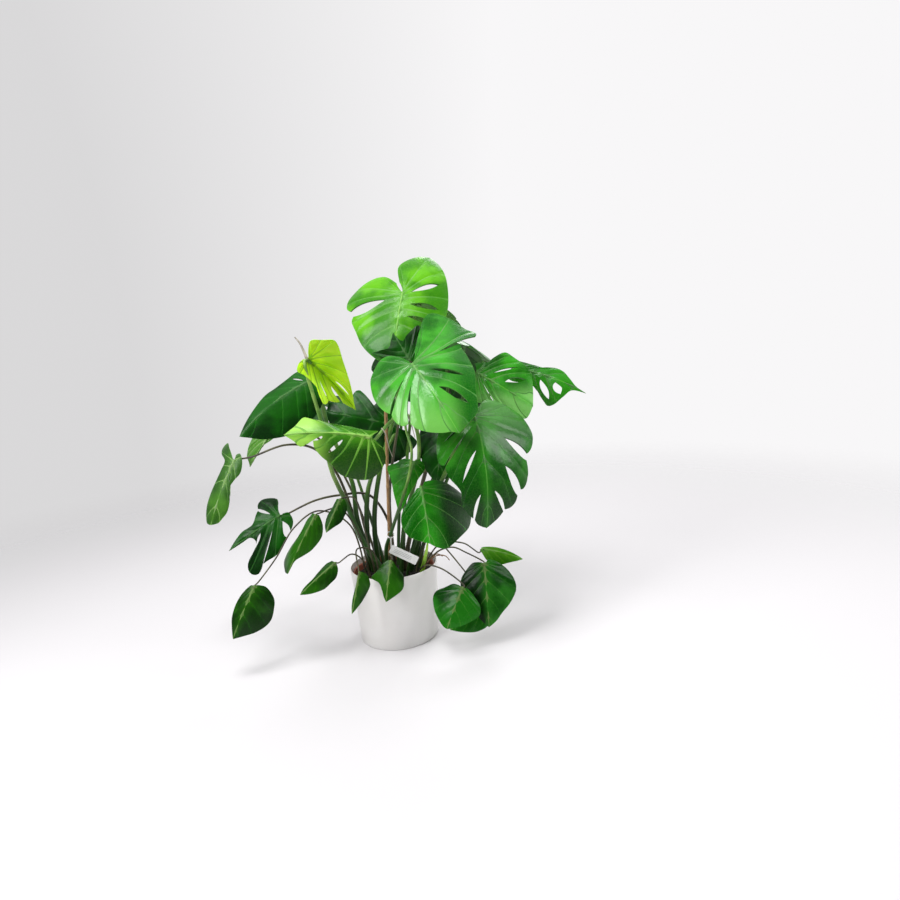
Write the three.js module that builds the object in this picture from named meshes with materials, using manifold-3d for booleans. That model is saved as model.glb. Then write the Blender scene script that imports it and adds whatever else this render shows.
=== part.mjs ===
import * as THREE from 'three';
import { mergeVertices } from 'three/addons/utils/BufferGeometryUtils.js';
import Module from 'manifold-3d';

const wasm = await Module();
wasm.setup();

// A swiss cheese plant about a metre high in a brown nursery pot, which stands in a white cover pot.
// Millimetres, +Z up, origin at the centre of the cover pot's underside. The front faces -Y.

// Driving dimensions of the two pots, the soil and what stands in it.
const POT_HEIGHT = 205;
const POT_RIM_RADIUS = 120;
const POT_FOOT_RADIUS = 108.5;
const POT_WALL = 3.2;
const POT_FLOOR = 5;
const INNER_HEIGHT = 186;
const INNER_RIM_RADIUS = 113;
const INNER_NECK_RADIUS = 110;
const INNER_FOOT_RADIUS = 88;
const INNER_WALL = 1.8;
const INNER_LIP = 5;
const SOIL_TOP = 178;
const SOIL_CROWN = 1;
const SOIL_CROWN_RADIUS = 72;
const SOIL_EDGE_DROP = 4;
const ROOT_DEPTH = 34;
const HOLE_CLEARANCE = 0.45;
const GAP = 0.35;
const ROUND_SIDES = 40;
const EDGE_ROUND = 1.5;

// The bamboo stake, the new shoot and its aerial roots, and the label.
const STAKE_FOOT = [-19, 4, 90];
const STAKE_TOP = [27, -70, 640];
const STAKE_RADIUS = 4;
const STAKE_KNOTS = [0.34, 0.62, 0.86];
const STAKE_KNOT_RISE = 0.8;
const STAKE_KNOT_REACH = 4.5;
const STAKE_SIDES = 8;
const SHOOT = [[78, -42, 144], [80, -43, 190], [89, -51, 222], [98, -56, 255], [104, -57, 286]];
const SHOOT_RADIUS = 6.5;
const SHOOT_TIP_RADIUS = 1.5;
const SHOOT_SIDES = 6;
const AERIAL_ROOT_RADIUS = 2;
const AERIAL_ROOT_TIP_RADIUS = 1.2;
const AERIAL_ROOT_SIDES = 4;
const AERIAL_ROOTS = [
  [[84, -47, 204], [105, -60, 228], [128, -68, 240], [146, -66, 236], [156, -62, 222]],
  [[82, -45, 200], [104, -48, 224], [124, -46, 236], [138, -44, 228]],
];
const LABEL_ON = 'glossy';
const LABEL_LOOP_PLACE = 0.26;
const LABEL_LOOP_RADIUS = 10;
const LABEL_TAIL = 5;
const LABEL_CENTRE = [38, -80, 253];
const LABEL_LENGTH = 78;
const LABEL_WIDTH = 24;
const LABEL_THICKNESS = 0.9;
const LABEL_TILT = 31;
const LABEL_INSET = 3;

// Driving dimensions of every leaf: how thick the blade is, and how finely it is divided.
const BLADE_THICKNESS = 1.2;
const DEFAULT_CURL = 20;
const DEFAULT_WAVE = 3;
const WAVES = 3;
const WELD = 0.02;
const PETIOLE_SIDES = 5;
const PETIOLE_STEPS = 5;
const PETIOLE_TAPER_END = 0.9;
const PETIOLE_TAPER = 1.2;
const PETIOLE_RISE = 4;
const SPUR_RADIUS = 4;
const SPUR_TIP_RADIUS = 1.4;
const NECK = 13;
const MIDRIB_START = 0.28;
const MIDRIB_LAG = 1.9;
const VEIN_BOW = 0.34;
const VEIN_BOW_TURN = 0.38;
const FINGER_ROUND = 0.09;

const point = (values) => new THREE.Vector3(...values);
const radians = THREE.MathUtils.degToRad;
const sided = (value, side) => (Array.isArray(value) ? value[side > 0 ? 1 : 0] : value);

// Half of a blade's outline, from the joint round the basal lobe to the tip.
// Across is a share of the width, and along is a share of the midrib's length.
const OUTLINES = {
  split: {
    margin: [[0.03, -0.17], [0.17, -0.27], [0.36, -0.22], [0.48, -0.03], [0.5, 0.22],
      [0.46, 0.48], [0.36, 0.69], [0.23, 0.85], [0.1, 0.95], [0, 1]],
    seams: [0, 0.2, 0.33, 0.43, 0.53, 0.64, 0.78, 1],
    strips: [2, 2, 2, 2, 2, 2, 2],
    rings: [0, 0.2, 0.5, 0.8, 1],
  },
  few: {
    margin: [[0.03, -0.17], [0.17, -0.27], [0.36, -0.22], [0.48, -0.03], [0.5, 0.22],
      [0.46, 0.48], [0.36, 0.69], [0.23, 0.85], [0.1, 0.95], [0, 1]],
    seams: [0, 0.26, 0.42, 0.58, 0.76, 1],
    strips: [2, 1, 1, 1, 2],
    rings: [0, 0.3, 0.65, 1],
  },
  oval: {
    margin: [[0.03, 0.01], [0.17, 0], [0.32, 0.06], [0.44, 0.17], [0.5, 0.33],
      [0.47, 0.49], [0.38, 0.65], [0.25, 0.79], [0.1, 0.91], [0, 1]],
    seams: [0, 0.14, 0.28, 0.42, 0.56, 0.72, 0.87, 1],
    strips: [1, 1, 1, 1, 1, 1, 1],
    rings: [0, 0.5, 1],
  },
  heart: {
    margin: [[0.04, -0.14], [0.2, -0.2], [0.38, -0.14], [0.49, 0.04], [0.5, 0.26],
      [0.44, 0.46], [0.33, 0.64], [0.2, 0.79], [0.08, 0.91], [0, 1]],
    seams: [0, 0.14, 0.28, 0.42, 0.56, 0.72, 0.87, 1],
    strips: [1, 1, 1, 1, 1, 1, 1],
    rings: [0, 0.5, 1],
  },
};

// The openings between side veins, one letter for each seam from the joint to the tip.
// Inside the margin: o is a narrow hole, l a slit and h a broad hole.
// Out to the margin: n is a narrow split, v a middling one, w a wide one and u a short one.
const CUTS = {
  o: { from: 0.2, to: 0.8, width: 0.014 },
  l: { from: 0.2, to: 0.8, width: 0.022 },
  n: { from: 0.3, to: 1.12, width: 0.012 },
  v: { from: 0.3, to: 1.12, width: 0.034 },
  w: { from: 0.3, to: 1.12, width: 0.06 },
  u: { from: 0.5, to: 1.12, width: 0.034 },
  h: { from: 0.2, to: 0.8, width: 0.04 },
};

// A tube with a round section that tapers along a curve, closed by a flat cap at each end.
function taperedTube(curve, places, radiusAt, sides) {
  const positions = [];
  const triangles = [];
  let across = new THREE.Vector3(1, 0, 0);
  for (const place of places) {
    const along = curve.getTangentAt(place);
    across = across.clone().addScaledVector(along, -across.dot(along)).normalize();
    const other = new THREE.Vector3().crossVectors(along, across);
    const centre = curve.getPointAt(place);
    for (let side = 0; side < sides; side += 1) {
      const turn = (2 * Math.PI * side) / sides;
      const corner = centre.clone()
        .addScaledVector(across, radiusAt(place) * Math.cos(turn))
        .addScaledVector(other, radiusAt(place) * Math.sin(turn));
      positions.push(corner.x, corner.y, corner.z);
    }
  }
  for (let ring = 0; ring + 1 < places.length; ring += 1) {
    for (let side = 0; side < sides; side += 1) {
      const here = ring * sides + side;
      const next = ring * sides + ((side + 1) % sides);
      triangles.push(here, next, next + sides);
      triangles.push(here, next + sides, here + sides);
    }
  }
  const last = (places.length - 1) * sides;
  for (let side = 1; side + 1 < sides; side += 1) {
    triangles.push(0, side + 1, side);
    triangles.push(last, last + side, last + side + 1);
  }
  const geometry = new THREE.BufferGeometry();
  geometry.setAttribute('position', new THREE.Float32BufferAttribute(positions, 3));
  geometry.setIndex(triangles);
  return geometry;
}

// A closed mesh as a solid that can be cut and joined, and back.
function solidOf(geometry) {
  const bare = geometry.clone();
  bare.deleteAttribute('normal');
  bare.deleteAttribute('uv');
  const merged = mergeVertices(bare, 1e-3);
  return new wasm.Manifold(new wasm.Mesh({
    numProp: 3,
    vertProperties: Float32Array.from(merged.attributes.position.array),
    triVerts: Uint32Array.from(merged.index.array),
  }));
}

function geometryOf(solid) {
  const mesh = solid.getMesh();
  const geometry = new THREE.BufferGeometry();
  geometry.setAttribute('position', new THREE.Float32BufferAttribute(mesh.vertProperties, 3));
  geometry.setIndex(Array.from(mesh.triVerts));
  return geometry;
}

// A vessel or disc turned round the upright axis, from [radius, height] pairs.
function turned(profile) {
  const outline = profile.map(([radius, height]) => new THREE.Vector2(radius, height));
  return solidOf(new THREE.LatheGeometry(outline, ROUND_SIDES).rotateX(Math.PI / 2));
}

// The frame of a blade: along the midrib's chord, out of its upper face, and to its right.
function bladeFrame(leaf) {
  const joint = point(leaf.joint);
  const along = point(leaf.tip).sub(joint);
  const chord = along.length();
  along.normalize();
  const face = point(leaf.face);
  face.addScaledVector(along, -face.dot(along)).normalize();
  const right = new THREE.Vector3().crossVectors(along, face);
  const droop = radians(leaf.droop);
  const length = chord * (droop / 2) / Math.sin(droop / 2);
  return { joint, along, face, right, droop, length };
}

// How wide the gap at a seam is, as a share of the outline, at a share of the way out.
function seamGap(letter, out) {
  const cut = CUTS[letter];
  if (!cut || out <= cut.from || out >= cut.to) {
    return 0;
  }
  return cut.width * Math.sin(Math.PI * (out - cut.from) / (cut.to - cut.from)) ** 0.8;
}

// A point of the flat blade, at a share of the way round the outline and of the way out.
// Leave is the same share where the vein leaves the midrib, which is alike for both halves.
function flatPoint(leaf, frame, outlines, side, round, leave, out) {
  const rim = outlines[side].getPoint(round);
  const lobe = rim.y < 0 ? sided(leaf.lobe ?? 1, side) : 1;
  const rimX = rim.x * leaf.width;
  const rimY = rim.y * lobe * frame.length;
  const lag = leaf.lag ?? MIDRIB_LAG;
  const ribY = Math.max(0, (leave - MIDRIB_START) / (1 - MIDRIB_START)) ** lag * frame.length;
  const bow = 2 * out * (1 - out) * VEIN_BOW * (round - VEIN_BOW_TURN);
  return [
    out * rimX + bow * (rimY - ribY),
    (1 - out) * ribY + out * rimY - bow * rimX,
  ];
}

// Where a path ends that starts at an angle and turns down evenly with each millimetre.
function arc(start, turn, length) {
  if (Math.abs(turn * length) < 1e-6) {
    return [length * Math.cos(start), length * Math.sin(start)];
  }
  const end = start - turn * length;
  return [(Math.sin(start) - Math.sin(end)) / turn, (Math.cos(end) - Math.cos(start)) / turn];
}

// The same point on the bent blade: the midrib arches, and each half folds and curls.
function bentPoint(leaf, frame, side, round, [across, along]) {
  const rise = frame.droop / 2;
  const bend = frame.droop / frame.length;
  const lobeBend = radians(sided(leaf.lobeBend ?? leaf.droop, side)) / frame.length;
  const here = rise - (along > 0 ? bend : lobeBend) * along;
  const [onward, lifted] = arc(rise, along > 0 ? bend : lobeBend, along);
  const fold = radians(sided(leaf.fold, side));
  const half = leaf.width / 2;
  const [outward, stood] = arc(fold, radians(sided(leaf.curl ?? DEFAULT_CURL, side)) / half, across);
  const swing = Math.sin(2 * Math.PI * (WAVES * round + (leaf.phase ?? 0)));
  const upward = stood + (leaf.wave ?? DEFAULT_WAVE) * (across / half) ** 2 * swing;
  return frame.joint.clone()
    .addScaledVector(frame.along, onward - upward * Math.sin(here))
    .addScaledVector(frame.face, lifted + upward * Math.cos(here))
    .addScaledVector(frame.right, side * outward);
}

// A blade of even thickness: two faces divided alike, and a wall along every edge and opening.
function blade(leaf) {
  const form = OUTLINES[leaf.form];
  const frame = bladeFrame(leaf);
  const curve = (margin) => new THREE.SplineCurve(margin.map(([x, y]) => new THREE.Vector2(x, y)));
  const outlines = {
    [-1]: curve(leaf.leftMargin ?? form.margin),
    1: curve(leaf.rightMargin ?? form.margin),
  };
  const corners = [];
  const found = new Map();
  const faces = [];
  const vertex = (side, round, leave, out) => {
    const flat = flatPoint(leaf, frame, outlines, side, round, leave, out);
    const place = bentPoint(leaf, frame, side, round, flat);
    const key = place.toArray().map((value) => Math.round(value / WELD)).join();
    if (!found.has(key)) {
      found.set(key, corners.length);
      corners.push(place);
    }
    return found.get(key);
  };
  const seamsOf = (side) => (side > 0 ? leaf.rightSeams : leaf.leftSeams) ?? form.seams;
  const leavings = seamsOf(1).map((place, i) => (place + seamsOf(-1)[i]) / 2);
  for (const side of [-1, 1]) {
    const cuts = ` ${(side > 0 ? leaf.right : leaf.left) ?? ''} `;
    const seams = seamsOf(side);
    for (let finger = 0; finger + 1 < seams.length; finger += 1) {
      const grid = [];
      const strips = form.strips[finger];
      for (let strip = 0; strip <= strips; strip += 1) {
        const share = strip / strips;
        const line = [];
        for (const out of form.rings) {
          const opened = [seamGap(cuts[finger], out), -seamGap(cuts[finger + 1], out)];
          const [round, leave] = [seams, leavings].map((places) => THREE.MathUtils.lerp(
            places[finger] + opened[0],
            places[finger + 1] + opened[1],
            share,
          ));
          const open = seamGap(cuts[finger], 1) > 0 ? (1 - share) ** 4 : 0;
          const shut = seamGap(cuts[finger + 1], 1) > 0 ? share ** 4 : 0;
          const reach = out * (1 - FINGER_ROUND * Math.min(1, open + shut));
          line.push(vertex(side, round, leave, reach));
        }
        grid.push(line);
      }
      for (let strip = 0; strip < strips; strip += 1) {
        for (let ring = 0; ring + 1 < form.rings.length; ring += 1) {
          const [a, b] = [grid[strip][ring], grid[strip][ring + 1]];
          const [c, d] = [grid[strip + 1][ring + 1], grid[strip + 1][ring]];
          for (const [p, q, r] of [[a, b, c], [a, c, d]]) {
            if (p !== q && q !== r && r !== p) {
              faces.push(side > 0 ? [p, q, r] : [p, r, q]);
            }
          }
        }
      }
    }
  }

  const normals = corners.map(() => new THREE.Vector3());
  for (const [p, q, r] of faces) {
    const normal = new THREE.Vector3().crossVectors(
      corners[q].clone().sub(corners[p]),
      corners[r].clone().sub(corners[p]),
    );
    for (const index of [p, q, r]) {
      normals[index].add(normal);
    }
  }
  const count = corners.length;
  const half = BLADE_THICKNESS / 2;
  const upper = corners.map((place, i) => place.clone().addScaledVector(normals[i].normalize(), half));
  const lower = corners.map((place, i) => place.clone().addScaledVector(normals[i], -half));
  const triangles = [];
  const edges = new Set();
  for (const [p, q, r] of faces) {
    triangles.push(p, q, r, count + p, count + r, count + q);
    edges.add(`${p},${q}`).add(`${q},${r}`).add(`${r},${p}`);
  }
  for (const edge of edges) {
    const [p, q] = edge.split(',').map(Number);
    if (!edges.has(`${q},${p}`)) {
      triangles.push(q, p, count + p, q, count + p, count + q);
    }
  }
  const geometry = new THREE.BufferGeometry();
  const positions = [...upper, ...lower].flatMap((place) => place.toArray());
  geometry.setAttribute('position', new THREE.Float32BufferAttribute(positions, 3));
  geometry.setIndex(triangles);
  return { solid: solidOf(geometry), frame };
}

// The petiole rises straight out of the soil, follows its route and bends in under the midrib.
function petioleCurve(leaf, frame) {
  const [x, y] = leaf.root;
  const neck = leaf.stalk[1];
  const slope = Math.tan(frame.droop / 2);
  const place = (along, face) => frame.joint.clone()
    .addScaledVector(frame.along, along)
    .addScaledVector(frame.face, face);
  return new THREE.CatmullRomCurve3([
    new THREE.Vector3(x, y, SOIL_TOP - ROOT_DEPTH),
    new THREE.Vector3(x, y, SOIL_TOP + PETIOLE_RISE),
    ...leaf.via.map(point),
    place(-0.3 * NECK, -NECK),
    place(0.1 * NECK, -0.85 * neck),
    place(NECK, slope * NECK - 0.85 * neck),
  ], false, 'centripetal');
}

function petiole(leaf, curve, extra) {
  const total = curve.getLength();
  const soilPlace = (ROOT_DEPTH + PETIOLE_RISE) / total;
  const neckPlace = 1 - (2.2 * NECK) / total;
  const places = [GAP / total, soilPlace];
  for (let step = 1; step <= PETIOLE_STEPS; step += 1) {
    places.push(THREE.MathUtils.lerp(soilPlace, neckPlace, step / PETIOLE_STEPS));
  }
  places.push(1 - (1.15 * NECK) / total, 1 - (0.7 * NECK) / total, 1);
  const [base, neck] = leaf.stalk;
  const swell = (place) => Math.max(0, 1 - place / PETIOLE_TAPER_END) ** PETIOLE_TAPER;
  const radiusAt = (place) => extra + neck + (base - neck) * swell(place);
  return solidOf(taperedTube(curve, places, radiusAt, PETIOLE_SIDES));
}

// The plain hole in the soil that a petiole stands in.
function rootHole(leaf, curve) {
  const soilPlace = (ROOT_DEPTH + PETIOLE_RISE) / curve.getLength();
  const radiusAt = () => leaf.stalk[0] + HOLE_CLEARANCE;
  return solidOf(taperedTube(curve, [0, soilPlace], radiusAt, PETIOLE_SIDES));
}

// The leaves. Joint is where the petiole meets the blade; face is the way the upper side looks;
// fold is how far the left and right halves stand up from flat, in degrees; via is the petiole's route.
const LEAVES = [
  // The large split leaves that face the front.
  { name: 'crown', form: 'split', root: [-49, 42],
    via: [[-47, 46, 320], [-18, 58, 459], [44, 78, 640]], stalk: [9, 4], joint: [91, 20, 929],
    tip: [54, -50, 740], face: [-0.1, -1, 0.5], width: 280, lag: 2.4, droop: 30, fold: [-6, -6],
    curl: 20, left: '--llo-', right: '--w---', leftMargin: [[-0.05, -0.16], [-0.1, -0.45],
      [0, -0.69], [0.14, -0.8], [0.26, -0.68], [0.36, -0.45], [0.42, -0.15], [0.44, 0.15],
      [0.41, 0.36], [0.33, 0.6], [0.18, 0.86], [0, 1]], rightMargin: [[0.08, -0.16],
      [0.24, -0.32], [0.45, -0.29], [0.58, -0.09], [0.6, 0.16], [0.52, 0.34], [0.43, 0.53],
      [0.33, 0.74], [0.18, 0.9], [0, 1]], leftSeams: [0, 0.2, 0.36, 0.5, 0.65, 0.76, 0.88, 1],
    rightSeams: [0, 0.2, 0.33, 0.51, 0.62, 0.72, 0.85, 1], colour: 0x4fae3a },
  { name: 'glossy', form: 'split', root: [-16, -22], via: [[-12, -38, 258], [8, -78, 310],
      [33, -134, 372], [58, -156, 432], [80, -160, 492], [88, -152, 545], [77, -130, 600]],
    stalk: [6, 2.7], joint: [108, -150, 748], tip: [204, -262, 590], face: [0, -0.8, 0.6],
    width: 255, lobeBend: [-25, 10], lag: 4.5, droop: 30, fold: [-8, -8], curl: [6, 25],
    left: '--w-ol', right: '---nn-', leftMargin: [[0.1, -0.17], [0.34, -0.52], [0.51, -0.63],
      [0.67, -0.48], [0.73, -0.26], [0.8, -0.09], [0.56, -0.05], [0.52, 0.15], [0.47, 0.42],
      [0.36, 0.66], [0.27, 0.87], [0.13, 0.95], [0, 1]], rightMargin: [[0.01, -0.06],
      [0.05, -0.19], [0.12, -0.32], [0.22, -0.36], [0.32, -0.31], [0.4, -0.24], [0.45, -0.13],
      [0.49, 0.03], [0.49, 0.22], [0.47, 0.41], [0.42, 0.57], [0.35, 0.69], [0.25, 0.8],
      [0.14, 0.9], [0.05, 0.95], [0, 1]], leftSeams: [0, 0.17, 0.31, 0.44, 0.58, 0.7, 0.84, 1],
    rightSeams: [0, 0.13, 0.27, 0.4, 0.6, 0.73, 0.86, 1], colour: 0x3c9a4a },
  { name: 'split', form: 'split', root: [48, 0], via: [[105, -50, 340], [180, -115, 500]],
    stalk: [8, 3.8], joint: [245, -165, 616], tip: [252, -235, 357], face: [0.35, -1, 0.45],
    width: 262, lobeBend: 20, lag: 2.8, droop: 60, fold: [-8, -10], curl: [15, 20], left: '---uun',
    right: '-nonon', leftMargin: [[0.07, -0.09], [0.2, -0.2], [0.42, -0.18], [0.6, -0.1],
      [0.64, 0.1], [0.6, 0.28], [0.53, 0.45], [0.48, 0.6], [0.4, 0.76], [0.27, 0.85],
      [0.12, 0.93], [0, 1]], rightMargin: [[0, -0.12], [0.1, -0.22], [0.25, -0.16], [0.34, 0.04],
      [0.4, 0.22], [0.41, 0.4], [0.34, 0.53], [0.24, 0.66], [0.22, 0.8], [0.12, 0.95], [0, 1]],
    leftSeams: [0, 0.12, 0.24, 0.34, 0.54, 0.75, 0.87, 1],
    rightSeams: [0, 0.15, 0.3, 0.42, 0.55, 0.7, 0.9, 1], colour: 0x2f7d3a },
  { name: 'right_upper', form: 'split', root: [42, 38], via: [[120, 60, 400], [215, 20, 620]],
    stalk: [8, 3.6], joint: [266, -9, 709], tip: [403, -51, 614], face: [0.2, -0.9, 0.5],
    width: 217, lag: 3.4, droop: 8, fold: [0, -8], curl: [5, 25], left: '----ol', right: '---n--',
    leftMargin: [[0.1, -0.11], [0.18, 0.02], [0.24, 0.09], [0.36, 0.11], [0.45, 0.19],
      [0.46, 0.32], [0.44, 0.47], [0.39, 0.66], [0.26, 0.81], [0, 1]], rightMargin: [[0.1, -0.1],
      [0.25, -0.06], [0.32, 0.1], [0.31, 0.28], [0.26, 0.43], [0.23, 0.58], [0.22, 0.73],
      [0.21, 0.88], [0.17, 1.02], [0, 1]], leftSeams: [0, 0.2, 0.33, 0.45, 0.58, 0.74, 0.87, 1],
    colour: 0x3a9a48 },
  { name: 'far_right', form: 'split', root: [66, 22], via: [[170, 70, 420], [305, 95, 640]],
    stalk: [7, 3], joint: [372, 90, 708], tip: [555, 10, 629], face: [0.1, -0.6, 0.8], width: 180,
    lag: 1.5, droop: 30, fold: [15, -40], curl: [10, 30], left: '------', right: '----hh',
    leftMargin: [[0.1, -0.08], [0.16, -0.02], [0.15, 0.1], [0.13, 0.25], [0.13, 0.4],
      [0.19, 0.51], [0.18, 0.62], [0.1, 0.74], [0.02, 0.86], [0, 1]], rightMargin: [[0.05, -0.1],
      [0.12, -0.1], [0.2, 0.05], [0.18, 0.3], [0.3, 0.47], [0.41, 0.6], [0.36, 0.7], [0.2, 0.77],
      [0.06, 0.83], [0, 1]], rightSeams: [0, 0.16, 0.3, 0.42, 0.52, 0.64, 0.77, 1],
    colour: 0x2f7d3a },
  { name: 'young_yellow', form: 'split', root: [-30, -14],
    via: [[-79, -8, 280], [-114, -5, 395], [-130, -60, 493], [-131, -110, 622]], stalk: [9, 3.4],
    joint: [-144, -118, 778], tip: [-50, -60, 641], face: [0.3, 0.85, 0.4], width: 180, lag: 4,
    droop: 24, fold: [-75, -5], curl: [20, 0], left: '----nv', right: '-----h',
    leftMargin: [[0.04, -0.06], [0.15, -0.1], [0.26, -0.08], [0.24, 0.05], [0.25, 0.2],
      [0.28, 0.36], [0.38, 0.5], [0.36, 0.6], [0.22, 0.69], [0.12, 0.8], [0.04, 0.92], [0, 1]],
    rightMargin: [[0.1, -0.08], [0.3, -0.22], [0.45, -0.17], [0.57, -0.08], [0.55, 0.05],
      [0.44, 0.25], [0.31, 0.47], [0.16, 0.73], [0.05, 0.9], [0, 1]],
    leftSeams: [0, 0.15, 0.3, 0.43, 0.56, 0.68, 0.82, 1],
    rightSeams: [0, 0.15, 0.3, 0.45, 0.6, 0.74, 0.88, 1],
    spur: [[-150, -119, 795], [-158, -120, 818], [-168, -121, 833]], colour: 0x9ccf2a },
  { name: 'left_dark', form: 'split', root: [-58, 16],
    via: [[-90, 16, 334], [-94, 28, 432], [-145, 30, 600]], stalk: [9, 4], joint: [-158, -40, 726],
    tip: [-333, -120, 604], face: [-0.3, -0.5, 0.85], width: 235, droop: 30, fold: [-45, 15],
    curl: [30, 15], left: '------', right: '--o---', leftMargin: [[0.02, -0.02], [0.1, -0.06],
      [0.2, -0.04], [0.3, 0.05], [0.37, 0.18], [0.4, 0.34], [0.39, 0.5], [0.34, 0.68],
      [0.22, 0.85], [0.08, 0.95], [0, 1]], rightMargin: [[0.04, -0.03], [0.14, -0.05],
      [0.22, -0.02], [0.24, 0.06], [0.2, 0.2], [0.18, 0.35], [0.18, 0.49], [0.13, 0.66],
      [0.07, 0.84], [0, 1]], colour: 0x2a7a33 },
  { name: 'young_light', form: 'split', root: [20, -8], via: [[42, 2, 321], [92, 10, 470],
      [98, -25, 575], [75, -85, 622], [42, -130, 612]], stalk: [6.5, 4], joint: [-2, -190, 587],
    tip: [-196, -222, 612], face: [0, -0.5, 0.85], width: 225, droop: 24, fold: [-45, 12],
    curl: [25, 8], left: '----ov', right: '------', leftMargin: [[0.02, -0.05], [0.09, -0.17],
      [0.19, -0.24], [0.31, -0.22], [0.42, -0.13], [0.47, 0.02], [0.47, 0.18], [0.43, 0.32],
      [0.33, 0.44], [0.25, 0.57], [0.16, 0.66], [0.085, 0.7], [0.14, 0.82], [0.07, 0.9], [0, 1]],
    rightMargin: [[0.06, -0.05], [0.1, -0.08], [0.08, 0.06], [0.1, 0.24], [0.12, 0.44],
      [0.15, 0.57], [0.19, 0.7], [0.21, 0.79], [0.1, 0.88], [0, 1]],
    leftSeams: [0, 0.13, 0.26, 0.4, 0.52, 0.64, 0.8, 1], colour: 0x7fbf3a },

  // Split leaves that stand behind these or hang out at the sides.
  { name: 'back_dark', form: 'few', root: [-74, 30], via: [[-60, 34, 381], [-43, 45, 440]],
    stalk: [9, 4], joint: [33, 110, 573], tip: [-163, 130, 626], face: [-0.1, -1, 0.25], width: 210,
    droop: 30, fold: [-10, -10], left: '-----', right: '-----', leftMargin: [[0.04, -0.13],
      [0.1, -0.27], [0.18, -0.36], [0.33, -0.3], [0.48, -0.18], [0.59, 0], [0.55, 0.3],
      [0.42, 0.59], [0.28, 0.79], [0.16, 0.93], [0, 1]], rightMargin: [[0.12, -0.1], [0.35, -0],
      [0.38, 0.14], [0.3, 0.29], [0.17, 0.39], [0.2, 0.47], [0.38, 0.58], [0.38, 0.67],
      [0.25, 0.72], [0.17, 0.85], [0.13, 0.99], [0, 1]], colour: 0x1f5c2a },
  { name: 'back_mid', form: 'few', root: [28, 12], via: [[70, 30, 330], [140, 40, 520]],
    stalk: [8, 3.6], joint: [187, 0, 589], tip: [137, -20, 428], face: [-0.2, -1, 0.2], width: 165,
    droop: 30, fold: [-10, -10], left: '----', right: '----', colour: 0x1f5c2a },
  { name: 'top_back', form: 'few', root: [22, 62], via: [[60, 110, 500], [110, 120, 760]],
    stalk: [6, 2.8], joint: [125, 100, 905], tip: [222, 200, 800], face: [0.3, 0.4, 0.9],
    width: 200, droop: 40, fold: [-8, -8], left: '-v--', right: '-vv-', colour: 0x3f9a3a },
  { name: 'right_back', form: 'few', root: [60, 52], via: [[125, 100, 400], [185, 130, 640]],
    stalk: [6, 2.8], joint: [205, 105, 806], tip: [325, 172, 703], face: [0.5, 0.3, 0.85],
    width: 200, droop: 30, fold: [-8, -8], left: '-v--', right: '-v--', colour: 0x3f9a3a },
  { name: 'left_hanging', form: 'few', root: [-76, 52], via: [[-100, 45, 320], [-140, 40, 470],
      [-184, 0, 543], [-252, -10, 559], [-343, -20, 536]], stalk: [5, 2], joint: [-391, -20, 531],
    tip: [-461, -60, 370], face: [-0.3, -1, 0.3], width: 150, droop: 20, fold: [-10, -10],
    left: '--v-', right: '----', leftMargin: [[-0.01, -0.08], [0.05, -0.12], [0.15, -0.02],
      [0.2, 0.14], [0.15, 0.28], [0.12, 0.42], [0.19, 0.53], [0.22, 0.65], [0.22, 0.76],
      [0.17, 0.86], [0.12, 0.94], [0, 1]], rightMargin: [[0.1, -0.06], [0.23, -0.14],
      [0.39, -0.23], [0.49, -0.15], [0.4, -0.04], [0.21, 0.05], [0.2, 0.2], [0.21, 0.34],
      [0.23, 0.58], [0.22, 0.8], [0.12, 0.99], [0, 1]], colour: 0x3f8a3a },
  { name: 'left_tip', form: 'few', root: [-52, 58], via: [[-110, 90, 400], [-190, 90, 560]],
    stalk: [4, 2.4], joint: [-290, 60, 600], tip: [-375, 50, 497], face: [-0.3, -0.95, 0.4],
    width: 150, droop: 30, fold: [-15, -15], left: '----', right: '----',
    leftMargin: [[0.11, 0.13], [0.07, 0.3], [0.01, 0.5], [-0.01, 0.83], [0, 1]],
    rightMargin: [[0.31, 0.25], [0.46, 0.56], [0.36, 0.74], [0.28, 0.9], [0.1, 0.95], [0, 1]],
    colour: 0x4f9a3a },
  { name: 'low_split', form: 'few', root: [-14, 84],
    via: [[-8, 84, 280], [-55, 66, 385], [-132, 10, 406], [-194, -20, 403]], stalk: [5, 2],
    joint: [-277, -60, 382], tip: [-392, -140, 321], face: [0, -0.85, 0.55], width: 210, droop: 20,
    fold: [-12, -5], curl: [15, 15], left: 'vvv-', right: '-v--', leftMargin: [[-0, -0.06],
      [0.03, -0.15], [0.15, -0.13], [0.25, -0.01], [0.33, 0.2], [0.39, 0.42], [0.39, 0.65],
      [0.42, 0.8], [0.46, 0.9], [0.41, 0.97], [0.33, 0.98], [0.25, 0.9], [0.19, 0.72],
      [0.11, 0.59], [0.03, 0.62], [0.02, 0.77], [0.01, 0.91], [0, 1]],
    rightMargin: [[0.12, -0.05], [0.22, -0.17], [0.31, -0.1], [0.35, 0.03], [0.31, 0.18],
      [0.21, 0.29], [0.1, 0.46], [0.1, 0.66], [0.05, 0.86], [0, 1]],
    leftSeams: [0, 0.2, 0.42, 0.72, 0.85, 1], rightSeams: [0, 0.25, 0.5, 0.7, 0.85, 1],
    colour: 0x1c4a26 },
  { name: 'back_top', form: 'few', root: [8, 52], via: [[30, 120, 420]], stalk: [6, 2.8],
    joint: [66, 228, 765], tip: [95, 318, 612], face: [0, 0.8, 0.6], width: 220, droop: 30,
    fold: [-8, -8], left: '-vv-', right: '-vv-', colour: 0x2f7d3a },
  { name: 'back_right', form: 'few', root: [72, 46], via: [[130, 110, 380], [185, 170, 560]],
    stalk: [6, 2.8], joint: [203, 190, 722], tip: [262, 205, 570], face: [0.2, 0.75, 0.55],
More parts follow.
